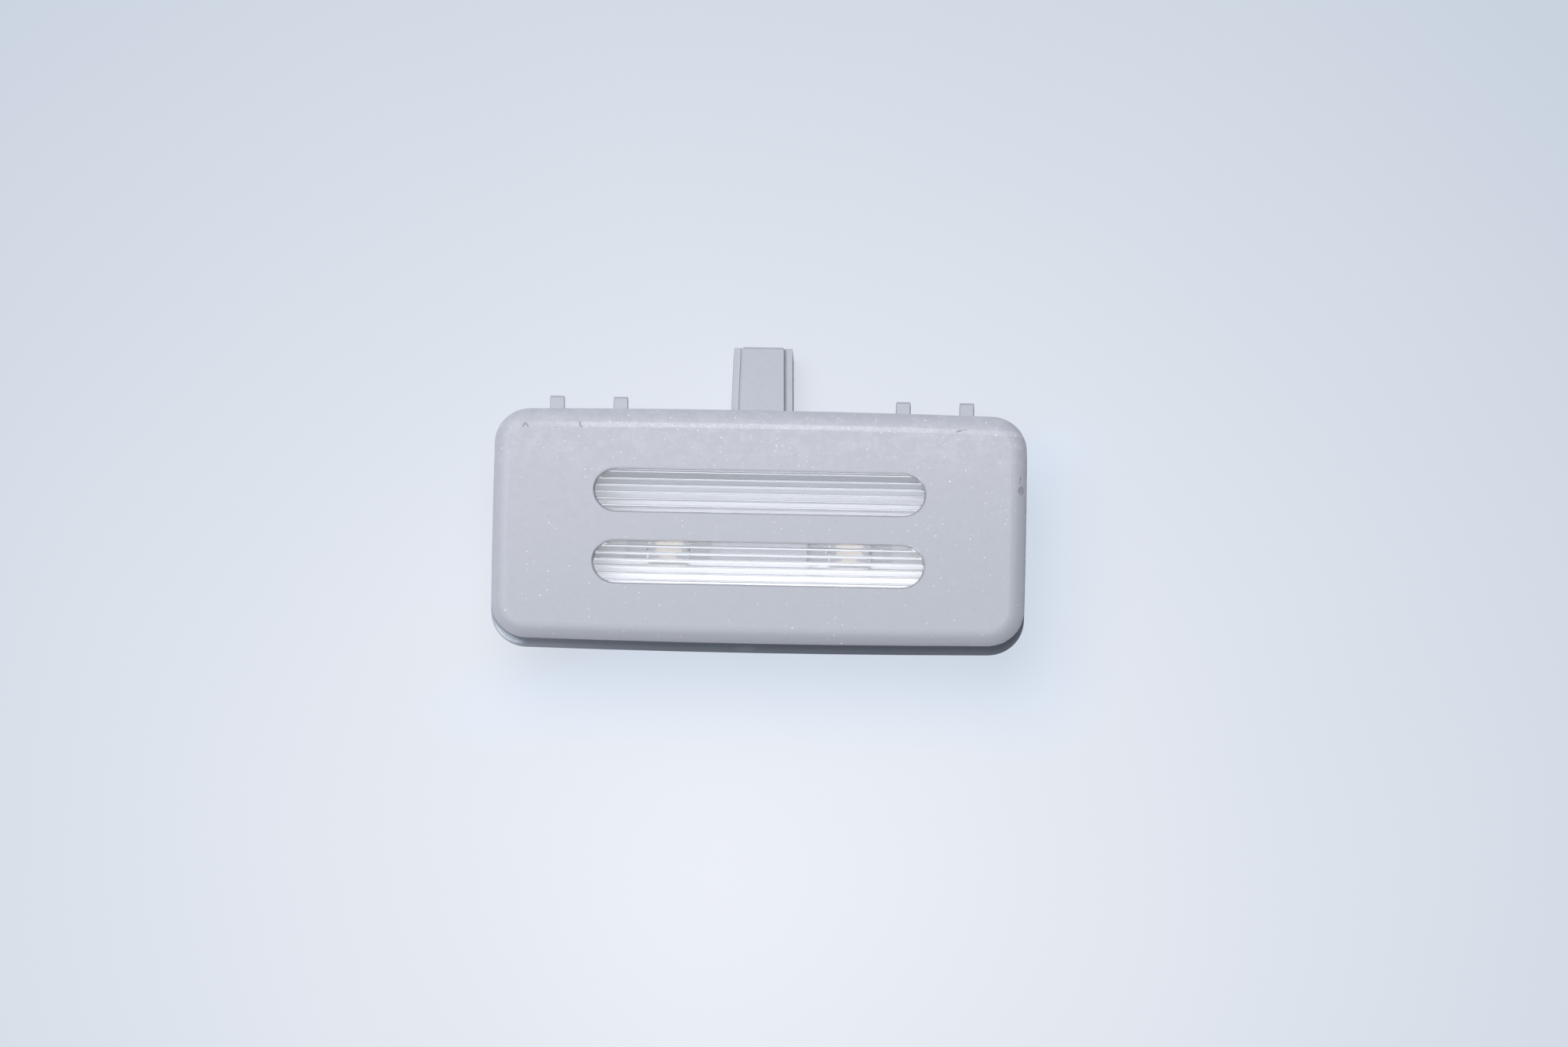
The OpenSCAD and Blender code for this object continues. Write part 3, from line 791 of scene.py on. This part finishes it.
@dataclass(frozen=True)
class SolderMask:
    """Solder mask over a glass fibre board, raised over the copper beneath it.

    It is white along its front and grey with painted shade behind, after the tones that the
    photograph shows.
    """

    name: str = "white_solder_mask"
    # The grey colour and cloud carry painted shade; the white along the front is the mask's own.
    colour: Colour = (0.26, 0.26, 0.3)
    unshaded: Colour = (0.88, 0.88, 0.9)
    unshaded_from: Point2 = (-2.4, -2.9)
    cloud: Colour = (0.24, 0.24, 0.275)
    gap: Colour = (0.2, 0.2, 0.22)
    gap_share: float = 0.35
    gap_depth: float = 0.03
    track: float = 1.6
    roughness: Point2 = (0.28, 0.38)

    def material(self) -> Material:
        """Returns the finished material."""
        bench = Bench(self.name)
        brick = {"Vector": bench.place, "Scale": 1 / (4 * self.track), "Mortar Size": 0.03,
                 "Mortar Smooth": 0.4, "Brick Width": 1.6, "Row Height": 0.5}
        gaps = bench.node("ShaderNodeTexBrick", {}, brick, 1)
        colour = bench.mix(bench.noise(4.0, 3.0).rise(0.3, 0.7), self.colour, self.cloud)
        colour = bench.mix(gaps * self.gap_share, colour, self.gap)
        # The front keeps the mask's own white; the grey behind is painted shade.
        colour = bench.mix(bench.place.part(Axis.Y).rise(*self.unshaded_from), colour, self.unshaded)
        weave = bench.noise(0.45, 2.0)
        normal = bench.bump(1.0 - gaps, self.gap_depth, bench.bump(weave, 0.004))
        return bench.surface({"Base Color": colour, "Roughness": weave.between(*self.roughness),
                              "Normal": normal})


@dataclass(frozen=True)
class CastSilicone:
    """The warm fill of a light source's cup, grainy with phosphor."""

    name: str = "phosphor_silicone"
    colour: Colour = (0.58, 0.51, 0.45)
    powder: Colour = (0.6, 0.55, 0.5)
    roughness: Point2 = (0.18, 0.28)
    scatter: Point3 = (0.4, 0.3, 0.12)

    def material(self) -> Material:
        """Returns the finished material."""
        bench = Bench(self.name)
        powder = bench.noise(0.06, 3.0, 0.7)
        return bench.surface({
            "Base Color": bench.mix(powder.rise(0.3, 0.7), self.colour, self.powder),
            "Roughness": powder.between(*self.roughness), "Coat Weight": 0.4, "Subsurface Weight": 0.3,
            "Subsurface Radius": tuple(reach * MM for reach in self.scatter), "Subsurface Scale": 1.0,
            "Normal": bench.bump(powder, 0.002)})


@dataclass(frozen=True)
class Metal:
    """Bare or plated metal, drawn along one axis."""

    name: str
    colour: Colour
    stain: Colour
    roughness: float
    drawn_along: Axis
    lines: float = 0.12
    draw: float = 0.04
    stain_share: float = 0.6

    def material(self) -> Material:
        """Returns the finished material."""
        bench = Bench(self.name)
        stretch = tuple(self.draw if axis is self.drawn_along else 1.0 for axis in Axis)
        lines = bench.noise(self.lines, 3.0, 0.6, stretch)
        blotch = bench.noise(1.4, 4.0, 0.6)
        colour = bench.mix(blotch.rise(0.45, 0.8) * self.stain_share, self.colour, self.stain)
        rough = lines * 0.14 + blotch * 0.1 + (self.roughness - 0.12)
        return bench.surface({"Base Color": colour, "Metallic": 1.0, "Roughness": rough,
                              "Normal": bench.bump(lines, 0.003)})


@dataclass(frozen=True)
class PartFinish:
    """A board part's finish: a body, with metal where the ends or the leads are."""

    name: str
    body: Colour
    speckle: Colour
    roughness: float
    axis: Axis
    metal_from: float
    pale_below: float | None = None
    pale: Colour = (0.92, 0.92, 0.94)
    tin: Colour = (0.74, 0.74, 0.72)
    tin_stain: Colour = (0.5, 0.5, 0.49)
    tin_roughness: float = 0.3
    roughness_spread: float = 0.16
    metal_blur: float = 0.01
    pale_blur: float = 0.05

    def material(self, node: str) -> Material:
        """Makes the material for one part.

        Args:
            node: The part's name. Its metal begins at a distance from its middle.

        Returns:
            The finished material.
        """
        bench = Bench(f"{self.name}_{node}")
        low, high = (corner[self.axis.value] for corner in node_box(node))
        outward = abs(bench.place.part(self.axis) - (low + high) / 2)
        metal = outward.rise(self.metal_from - self.metal_blur, self.metal_from + self.metal_blur)
        fine = bench.noise(0.09, 3.0, 0.7)
        body = bench.mix(fine.rise(0.5, 0.75), self.body, self.speckle)
        # A pale side in the part's own colour, beside a body colour that is painted shade.
        if self.pale_below is not None:
            side = bench.place.part(Axis.Y).rise(self.pale_below, self.pale_below - self.pale_blur)
            body = bench.mix(side, body, self.pale)
        tin = bench.mix(bench.noise(0.25, 3.0).rise(0.4, 0.8), self.tin, self.tin_stain)
        rough = (fine - 0.5) * self.roughness_spread + metal * (self.tin_roughness - self.roughness)
        return bench.surface({"Base Color": bench.mix(metal, body, tin), "Metallic": metal,
                              "Roughness": rough + self.roughness, "Normal": bench.bump(fine, 0.004)})


def paint(piece: Piece, material: Material) -> Piece:
    """Gives a piece one finish.

    Args:
        piece: The piece.
        material: The finish.

    Returns:
        The piece.
    """
    piece.data.materials.clear()
    piece.data.materials.append(material)
    return piece


def dress(node: str, material: Material) -> Piece:
    """Gives a piece of the frame, by its name, its finish and returns it."""
    return paint(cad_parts[node], material)


def node_box(node: str) -> tuple[Vector, Vector]:
    """Returns the lowest and highest corner of a piece of the frame, in millimetres."""
    low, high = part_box(node)
    return low / MM, high / MM


def loft(name: str, rings: Sequence[Sequence[Point3]]) -> Piece:
    """Joins rings of points into a closed skin.

    Args:
        name: The new object's name.
        rings: Rings with the same number of points, in millimetres, from the bottom to the top.

    Returns:
        The new object.
    """
    skin = bmesh.new()
    loops = [[skin.verts.new(Vector(point) * MM) for point in ring] for ring in rings]
    for low, high in zip(loops, loops[1:]):
        for i, vertex in enumerate(low):
            following = (i + 1) % len(low)
            skin.faces.new((vertex, low[following], high[following], high[i]))
    skin.faces.new(list(reversed(loops[0])))
    skin.faces.new(loops[-1])
    bmesh.ops.recalc_face_normals(skin, faces=skin.faces)
    return as_object(name, skin)


def as_object(name: str, skin: bmesh.types.BMesh) -> Piece:
    """Turns a mesh under construction into an object.

    Args:
        name: The new object's name.
        skin: The mesh, which is freed.

    Returns:
        The new object, linked to the scene.
    """
    data = bpy.data.meshes.new(name)
    skin.to_mesh(data)
    skin.free()
    made = bpy.data.objects.new(name, data)
    bpy.context.scene.collection.objects.link(made)
    return made


def apply_modifiers(piece: Piece) -> None:
    """Makes a piece's modifiers part of its mesh.

    Args:
        piece: The piece.
    """
    graph = bpy.context.evaluated_depsgraph_get()
    data = bpy.data.meshes.new_from_object(piece.evaluated_get(graph))
    piece.modifiers.clear()
    piece.data = data


def join(base: Piece, others: Iterable[Piece], how: Join = Join.FUSE) -> None:
    """Fuses solids to a closed mesh or cuts them out of it.

    Args:
        base: The solid that stays.
        others: The other solids, which are removed.
        how: Whether they are fused or cut.
    """
    others = list(others)
    for other in others:
        modifier = base.modifiers.new(how.name, "BOOLEAN")
        modifier.operation = how.value
        modifier.solver = "EXACT"
        modifier.object = other
    apply_modifiers(base)
    for other in others:
        bpy.data.objects.remove(other)


def shade_smooth(piece: Piece, angle: float) -> None:
    """Shades a mesh smooth, apart from its sharper edges.

    Args:
        piece: The piece.
        angle: The angle in degrees from which an edge is sharp.
    """
    for polygon in piece.data.polygons:
        polygon.use_smooth = True
    piece.data.set_sharp_from_angle(angle=math.radians(angle))


def stadium(length: float, width: float, middle: Point2, height: float, steps: int = 24) -> list[Point3]:
    """Draws the outline of a bar with round ends.

    Args:
        length: The length over both ends, along X.
        width: The width.
        middle: The bar's middle.
        height: The height of every point.
        steps: How many steps each end has.

    Returns:
        The outline.
    """
    points = []
    for side in (1, -1):
        for step in range(steps + 1):
            turn = math.radians(-90 + 180 * step / steps) + (0 if side > 0 else math.pi)
            x = side * (length - width) / 2 + math.cos(turn) * width / 2
            points.append((middle[0] + x, middle[1] + math.sin(turn) * width / 2, height))
    return points


def rounded_outline(length: float, width: float, radius: float, height: float,
                    steps: int = 8) -> list[Point3]:
    """Draws the outline of a rectangle with round corners.

    Args:
        length: The length along X.
        width: The width along Y.
        radius: The radius of the corners.
        height: The height of every point.
        steps: How many steps each corner has.

    Returns:
        The outline.
    """
    points = []
    for quarter, (i, j) in enumerate(((1, 1), (-1, 1), (-1, -1), (1, -1))):
        for step in range(steps + 1):
            turn = math.radians(90 * (quarter + step / steps))
            x = i * (length / 2 - radius) + math.cos(turn) * radius
            points.append((x, j * (width / 2 - radius) + math.sin(turn) * radius, height))
    return points


@dataclass
class Bezel:
    """The moulded cover with its two windows."""

    view: PhotoView
    face_middle: Vector
    colour: Colour = (0.476, 0.494, 0.566)
    shade: Colour = (0.459, 0.477, 0.547)
    marks: tuple[Mark, ...] = (
        Mark((668.0, 541.5), (0.44, 0.11), 5.7, 0.08, 0.66, 62.0),
        Mark((672.0, 541.5), (0.42, 0.11), 5.7, 0.08, 0.72, 125.0),
        Mark((740.0, 540.5), (0.46, 0.1), 5.7, 0.08, 0.68, 94.0),
        Mark((742.0, 543.5), (0.2, 0.13), 5.7, 0.05, 0.7),
        Mark((1223.5, 550.0), (0.42, 0.14), 5.7, 0.08, 0.68, 14.0),
        Mark((1230.0, 548.5), (0.5, 0.1), 5.7, 0.04, 0.84, 10.0),
        Mark((1303.5, 626.5), (0.55, 0.8), 5.1, 0.08, 0.76),
        Mark((1302.0, 613.0), (0.1, 0.75), 5.2, 0.06, 0.76, -4.0),
        Mark((950.0, 826.0), (1.9, 1.2), 2.4, 0.01, 1.22),
        # Painted light: a brighter spot on the skirt's lower left corner.
        Mark((646.0, 812.0), (3.4, 2.2), 2.4, 0.01, 1.9, -38.0),
    )

    def build(self) -> list[Piece]:
        """Dresses the bezel and returns it."""
        finish = WornPlastic("bezel_plastic", self.colour, self.shade, marks=self.marks,
                             view=self.view, face_middle=tuple(self.face_middle))
        return [dress("bezel", finish.material())]


@dataclass
class Lens:
    """The clear moulding: two pads that fill the windows, on a flange with flutes on its back."""

    flange_thickness: float = 1.2
    flange_corner: float = 2.0
    pad_length: float = 47.0
    pad_width: float = 6.3
    pad_spacing: float = 10.6
    pad_edge: float = 0.06
    shift: float = 0.4
    flute_pitch: float = 1.0
    flute_depth: float = 0.25
    flute_count: int = 17
    flute_length: float = 48.2
    flute_fullness: float = 4.0
    flute_web: float = 0.01
    steps_per_flute: int = 24
    strip_sink: float = 0.4
    pad_sink: float = 0.3
    edge_steps: int = 5
    bore_radius: float = 0.82
    bores: Point2 = (28.2, 7.4)
    smooth_below: float = 28.0

    def flange(self, low: float, high: float) -> Piece:
        """Builds the flange.

        Args:
            low: The height of its back.
            high: The height of its front.

        Returns:
            The flange.
        """
        box_low, box_high = node_box("lens")
        size = box_high - box_low
        rings = [rounded_outline(size.x, size.y, self.flange_corner, height) for height in (low, high)]
        return loft("fluted_lens", rings)

    def pad(self, y: float, low: float, high: float) -> Piece:
        """Builds one pad, whose upper edge is rounded.

        Args:
            y: The pad's middle.
            low: A height inside the flange.
            high: The height of its face.

        Returns:
            The pad.
        """
        rings = [stadium(self.pad_length, self.pad_width, (0.0, y), low)]
        for step in range(self.edge_steps + 1):
            turn = math.radians(90 * step / self.edge_steps)
            inset = 2 * self.pad_edge * (1 - math.cos(turn))
            height = high - self.pad_edge * (1 - math.sin(turn))
            rings.append(stadium(self.pad_length - inset, self.pad_width - inset, (0.0, y), height))
        return loft("pad", rings)

    def flutes(self, top: float) -> Piece:
        """Builds the fluted strip on the back of the flange.

        Args:
            top: The height of the flange's back.

        Returns:
            The strip.
        """
        half = self.flute_count * self.flute_pitch / 2
        profile = [(end - self.shift, top + self.strip_sink) for end in (half, -half)]
        for flute in range(self.flute_count):
            for step in range(self.steps_per_flute + (flute == self.flute_count - 1)):
                across = (step / self.steps_per_flute - 0.5) * self.flute_pitch
                y = (flute + 0.5) * self.flute_pitch - half + across - self.shift
                hollow = abs(2 * across / self.flute_pitch) ** self.flute_fullness
                profile.append((y, top - self.flute_depth + hollow * (self.flute_depth - self.flute_web)))
        ends = (-self.flute_length / 2, self.flute_length / 2)
        return loft("flutes", [[(x, y, z) for y, z in profile] for x in ends])

    def bore(self, side: int, end: int, low: float, high: float) -> Piece:
        """Builds the solid of one stake's hole.

        Args:
            side: 1 for the connector's side and -1 for the other.
            end: 1 for the right end and -1 for the left.
            low: The height of the hole's lower end.
            high: The height of its upper end.

        Returns:
            The solid.
        """
        middle = (end * self.bores[0], side * self.bores[1] - self.shift)
        width = 2 * self.bore_radius
        return loft("bore", [stadium(width, width, middle, height) for height in (low, high)])

    def build(self) -> list[Piece]:
        """Builds the lens and returns it."""
        low, high = node_box("lens")
        back = low.z + self.flute_depth
        front = back + self.flange_thickness
        lens = self.flange(back, front)
        pads = [self.pad(side * self.pad_spacing / 2 - self.shift, front - self.pad_sink, high.z)
                for side in (-1, 1)]
        join(lens, [*pads, self.flutes(back)])
        corners = [(side, end) for side in (-1, 1) for end in (-1, 1)]
        join(lens, [self.bore(side, end, low.z - 1, high.z) for side, end in corners], Join.CUT)
        shade_smooth(lens, self.smooth_below)
        paint(lens, ClearMoulding().material())
        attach(lens, BODY)
        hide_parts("lens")
        return [lens]


@dataclass
class Solder:
    """The solder between the board and the ends of what stands on it, as one piece."""

    reach: float = 0.4
    rise: float = 0.5
    sink: float = 0.01
    steps: int = 6
    tab_pitch: float = 1.6
    tab_width: float = 0.8
    thinning: tuple[Point2, ...] = ((-0.5, 0.35), (-0.4, 0.85), (-0.3, 1.0), (0.3, 1.0), (0.4, 0.85),
                                    (0.5, 0.35))
    pin_rings: tuple[Point2, ...] = ((1.0, -0.01), (0.92, 0.05), (0.62, 0.16), (0.48, 0.36), (0.42, 0.6))
    pin_steps: int = 10
    smooth_below: float = 40.0
    chips: tuple[tuple[str, Axis, float], ...] = (
        ("resistor_1", Axis.Y, 1.5), ("resistor_2", Axis.Y, 1.5), ("resistor_3", Axis.Y, 1.5),
        ("resistor_4", Axis.Y, 1.5), ("surge_suppressor", Axis.Y, 2.4), ("polarity_diode", Axis.X, 1.3),
        ("filter_capacitor_1", Axis.X, 1.15), ("filter_capacitor_2", Axis.X, 1.15),
    )

    def section(self, reach: float, rise: float) -> list[Point2]:
        """Draws the hollow section of a fillet.

        Args:
            reach: How far the fillet runs out over the board.
            rise: How far it climbs up the part.

        Returns:
            Distances out from the part and off the board.
        """
        turns = [math.radians(90 * step / self.steps) for step in range(self.steps + 1)]
        curve = [(reach * (1 - math.sin(turn)), rise * (1 - math.cos(turn))) for turn in turns]
        return [(-self.sink, -self.sink), (reach, -self.sink), *curve, (-self.sink, rise)]

    def fillet(self, foot: Point3, axis: Axis, way: int, off_board: int, width: float) -> Piece:
        """Builds one fillet, which thins out at both sides.

        Args:
            foot: The middle of the corner between the part's end and the board.
            axis: The axis that the fillet runs out along.
            way: 1 or -1 along that axis.
            off_board: 1 on the front of the board and -1 on its back.
            width: The width of the part's end.

        Returns:
            The fillet.
        """
        rings = []
        for share, scale in self.thinning:
            ring = []
            for out, up in self.section(self.reach * scale, self.rise * scale):
                offset = [0.0, 0.0, off_board * up]
                offset[axis.value] = way * out
                offset[1 - axis.value] = share * width
                ring.append(tuple(a + b for a, b in zip(foot, offset)))
            rings.append(ring)
        return loft("fillet", rings)

    def at_ends(self, node: str, axis: Axis, width: float, off_board: int,
                shifts: Sequence[float] = (0.0,)) -> list[Piece]:
        """Builds the fillets at both ends of a part.

        Args:
            node: The part's name.
            axis: The axis from one end to the other.
            width: The width of each fillet.
            off_board: 1 on the front of the board and -1 on its back.
            shifts: Where the fillets of an end are, across the axis, from its middle.

        Returns:
            The fillets.
        """
        low, high = node_box(node)
        board = low.z if off_board > 0 else high.z
        fillets = []
        for way, end in ((-1, low), (1, high)):
            for shift in shifts:
                foot = [(low.x + high.x) / 2, (low.y + high.y) / 2, board]
                foot[axis.value] = end[axis.value]
                foot[1 - axis.value] += shift
                fillets.append(self.fillet(tuple(foot), axis, way, off_board, width))
        return fillets

    def at_pin(self, node: str, board: float) -> Piece:
        """Builds the cone of solder round a terminal pin.

        Args:
            node: The pin's name.
            board: The height of the board's front.

        Returns:
            The cone.
        """
        low, high = node_box(node)
        middle = ((low.x + high.x) / 2, low.y + (high.x - low.x) / 2)
        rings = [stadium(2 * r, 2 * r, middle, board + z, self.pin_steps) for r, z in self.pin_rings]
        return loft("cone", rings)

    def build(self) -> list[Piece]:
        """Builds all the solder and returns it."""
        joints = []
        for side in ("left", "right"):
            shifts = (-self.tab_pitch, 0.0, self.tab_pitch)
            joints += self.at_ends(f"led_{side}", Axis.X, self.tab_width, 1, shifts)
            joints.append(self.at_pin(f"terminal_pin_{side}", node_box("circuit_board")[1].z))
        for node, axis, width in self.chips:
            joints += self.at_ends(node, axis, width, -1)
        skin = bmesh.new()
        for joint in joints:
            skin.from_mesh(joint.data)
            bpy.data.objects.remove(joint)
        solder = as_object("solder_joints", skin)
        shade_smooth(solder, self.smooth_below)
        tin = Metal("bright_solder", (0.78, 0.78, 0.77), (0.62, 0.61, 0.59), 0.26, Axis.Z, 0.2)
        paint(solder, tin.material())
        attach(solder, BODY)
        return [solder]


@dataclass
class LightEngine:
    """The circuit board, what is soldered to it, and the reflector above it."""

    parts: tuple[tuple[PartFinish, tuple[str, ...]], ...] = (
        # The packages' grey body is painted shade; their pale front is their own white.
        (PartFinish("moulded_package", (0.27, 0.27, 0.31), (0.31, 0.31, 0.35), 0.35, Axis.X, 2.7, -2.9),
         ("led_left", "led_right")),
        (PartFinish("black_glaze", (0.02, 0.02, 0.022), (0.03, 0.03, 0.034), 0.3, Axis.Y, 1.2),
         ("resistor_1", "resistor_2", "resistor_3", "resistor_4")),
        (PartFinish("tan_ceramic", (0.42, 0.28, 0.17), (0.48, 0.34, 0.22), 0.5, Axis.X, 0.7),
         ("filter_capacitor_1", "filter_capacitor_2")),
        (PartFinish("moulding_compound", (0.025, 0.025, 0.028), (0.04, 0.04, 0.045), 0.55, Axis.X, 2.0),
         ("polarity_diode",)),
        (PartFinish("dark_ceramic", (0.11, 0.12, 0.14), (0.15, 0.16, 0.18), 0.5, Axis.Y, 1.2),
         ("surge_suppressor",)),
    )

    def build(self) -> list[Piece]:
        """Dresses every piece and returns them all."""
        phosphor = CastSilicone().material()
        pieces = [dress("reflector", BrightReflector().material()),
                  dress("circuit_board", SolderMask().material())]
        pieces += [dress(f"led_{side}_phosphor", phosphor) for side in ("left", "right")]
        pieces += [dress(node, finish.material(node)) for finish, nodes in self.parts for node in nodes]
        return pieces


@dataclass
class Housing:
    """The rear housing with the pins of its socket and its spring clips."""

    colour: Colour = (0.438, 0.46, 0.53)
    shade: Colour = (0.42, 0.442, 0.51)

    def build(self) -> list[Piece]:
        """Dresses every piece and returns them all."""
        plastic = GrainedPlastic("housing_plastic", self.colour, self.shade, roughness=0.5, grain=0.22,
                                 grain_depth=0.006)
        tin = Metal("tinned_pin", (0.74, 0.73, 0.70), (0.60, 0.57, 0.50), 0.3, Axis.Y, 0.08)
        steel = Metal("rolled_spring_steel", (0.50, 0.50, 0.51), (0.36, 0.34, 0.32), 0.36, Axis.X)
        pieces = [dress("rear_housing", plastic.material())]
        for nodes, finish in (("terminal_pin", tin.material()), ("spring_clip", steel.material())):
            pieces += [dress(f"{nodes}_{side}", finish) for side in ("left", "right")]
        return pieces


@dataclass(frozen=True)
class Softbox:
    """The soft lamp of the studio."""

    name: str
    place: Point3
    size: Point2
    power: float

    def build(self, target: Vector) -> Piece:
        """Makes the lamp, facing the target and unseen through the lens.

        Args:
            target: The place it points at, in metres.

        Returns:
            The lamp.
        """
        data = bpy.data.lights.new(self.name, "AREA")
        data.shape = "RECTANGLE"
        data.size, data.size_y = self.size
        data.energy = self.power
        lamp = bpy.data.objects.new(self.name, data)
        lamp.location = Vector(self.place)
        lamp.rotation_mode = "QUATERNION"
        lamp.rotation_quaternion = (target - lamp.location).to_track_quat("-Z", "Y")
        lamp.visible_transmission = False
        bpy.context.scene.collection.objects.link(lamp)
        return lamp


@dataclass
class Studio:
    """A pale floor, a soft lamp up on the left and a pale surround."""

    view: PhotoView
    floor_size: float = 4.0
    floor_gap: float = 0.02
    surround: Colour = (0.78, 0.84, 0.90)
    surround_strength: float = 1.0
    ambient: float = 0.06
    lamp: Softbox = Softbox("overhead_softbox", (-0.6, 0.45, 2.6), (2.4, 2.4), 88.0)

    def floor(self) -> Piece:
        """Returns the floor, a hair under the lamp's flat back."""
        half = self.floor_size / 2
        plane = bmesh.new()
        corners = ((-half, -half), (half, -half), (half, half), (-half, half))
        height = CAD_BOX[0].z - self.floor_gap * MM
        plane.faces.new([plane.verts.new((x, y, height)) for x, y in corners])
        floor = paint(as_object("floor", plane), Paper().material())
        return floor

    def world(self) -> bpy.types.World:
        """Returns the surround: pale where it is seen or mirrored, and a weak light all round."""
        bench = Bench("studio", Holder.WORLD)
        light = bench.node("ShaderNodeBackground", {}, {"Color": (1.0, 1.0, 1.0), "Strength": self.ambient})
        pale = bench.node("ShaderNodeBackground", {},
                          {"Color": self.surround, "Strength": self.surround_strength})
        seen = bench.rays("Is Camera Ray", "Is Transmission Ray", "Is Glossy Ray")
        return bench.finish(bench.either(seen, light, pale))

    def build(self, face_middle: Vector) -> None:
        """Makes the camera, the floor, the lamp and the surround.

        Args:
            face_middle: The middle of the lamp's face, in millimetres.
        """
        self.view.place_camera(face_middle)
        self.floor()
        bpy.context.scene.world = self.world()
        self.lamp.build(face_middle * MM)
        bpy.context.scene.view_settings.view_transform = "Standard"


def main() -> None:
    """Builds the studio and the lamp, and reports each piece."""
    logging.basicConfig(level=logging.INFO, format="%(name)s: %(message)s")
    face_middle = Vector((0.0, 0.0, node_box("bezel")[1].z))
    view = PhotoView()
    Studio(view).build(face_middle)
    for part in (Bezel(view, face_middle), Lens(), LightEngine(), Solder(), Housing()):
        for piece in part.build():
            LOG.info("%s: %s, %d faces", type(part).__name__, piece.name, len(piece.data.polygons))


if __name__ == "__main__":
    main()
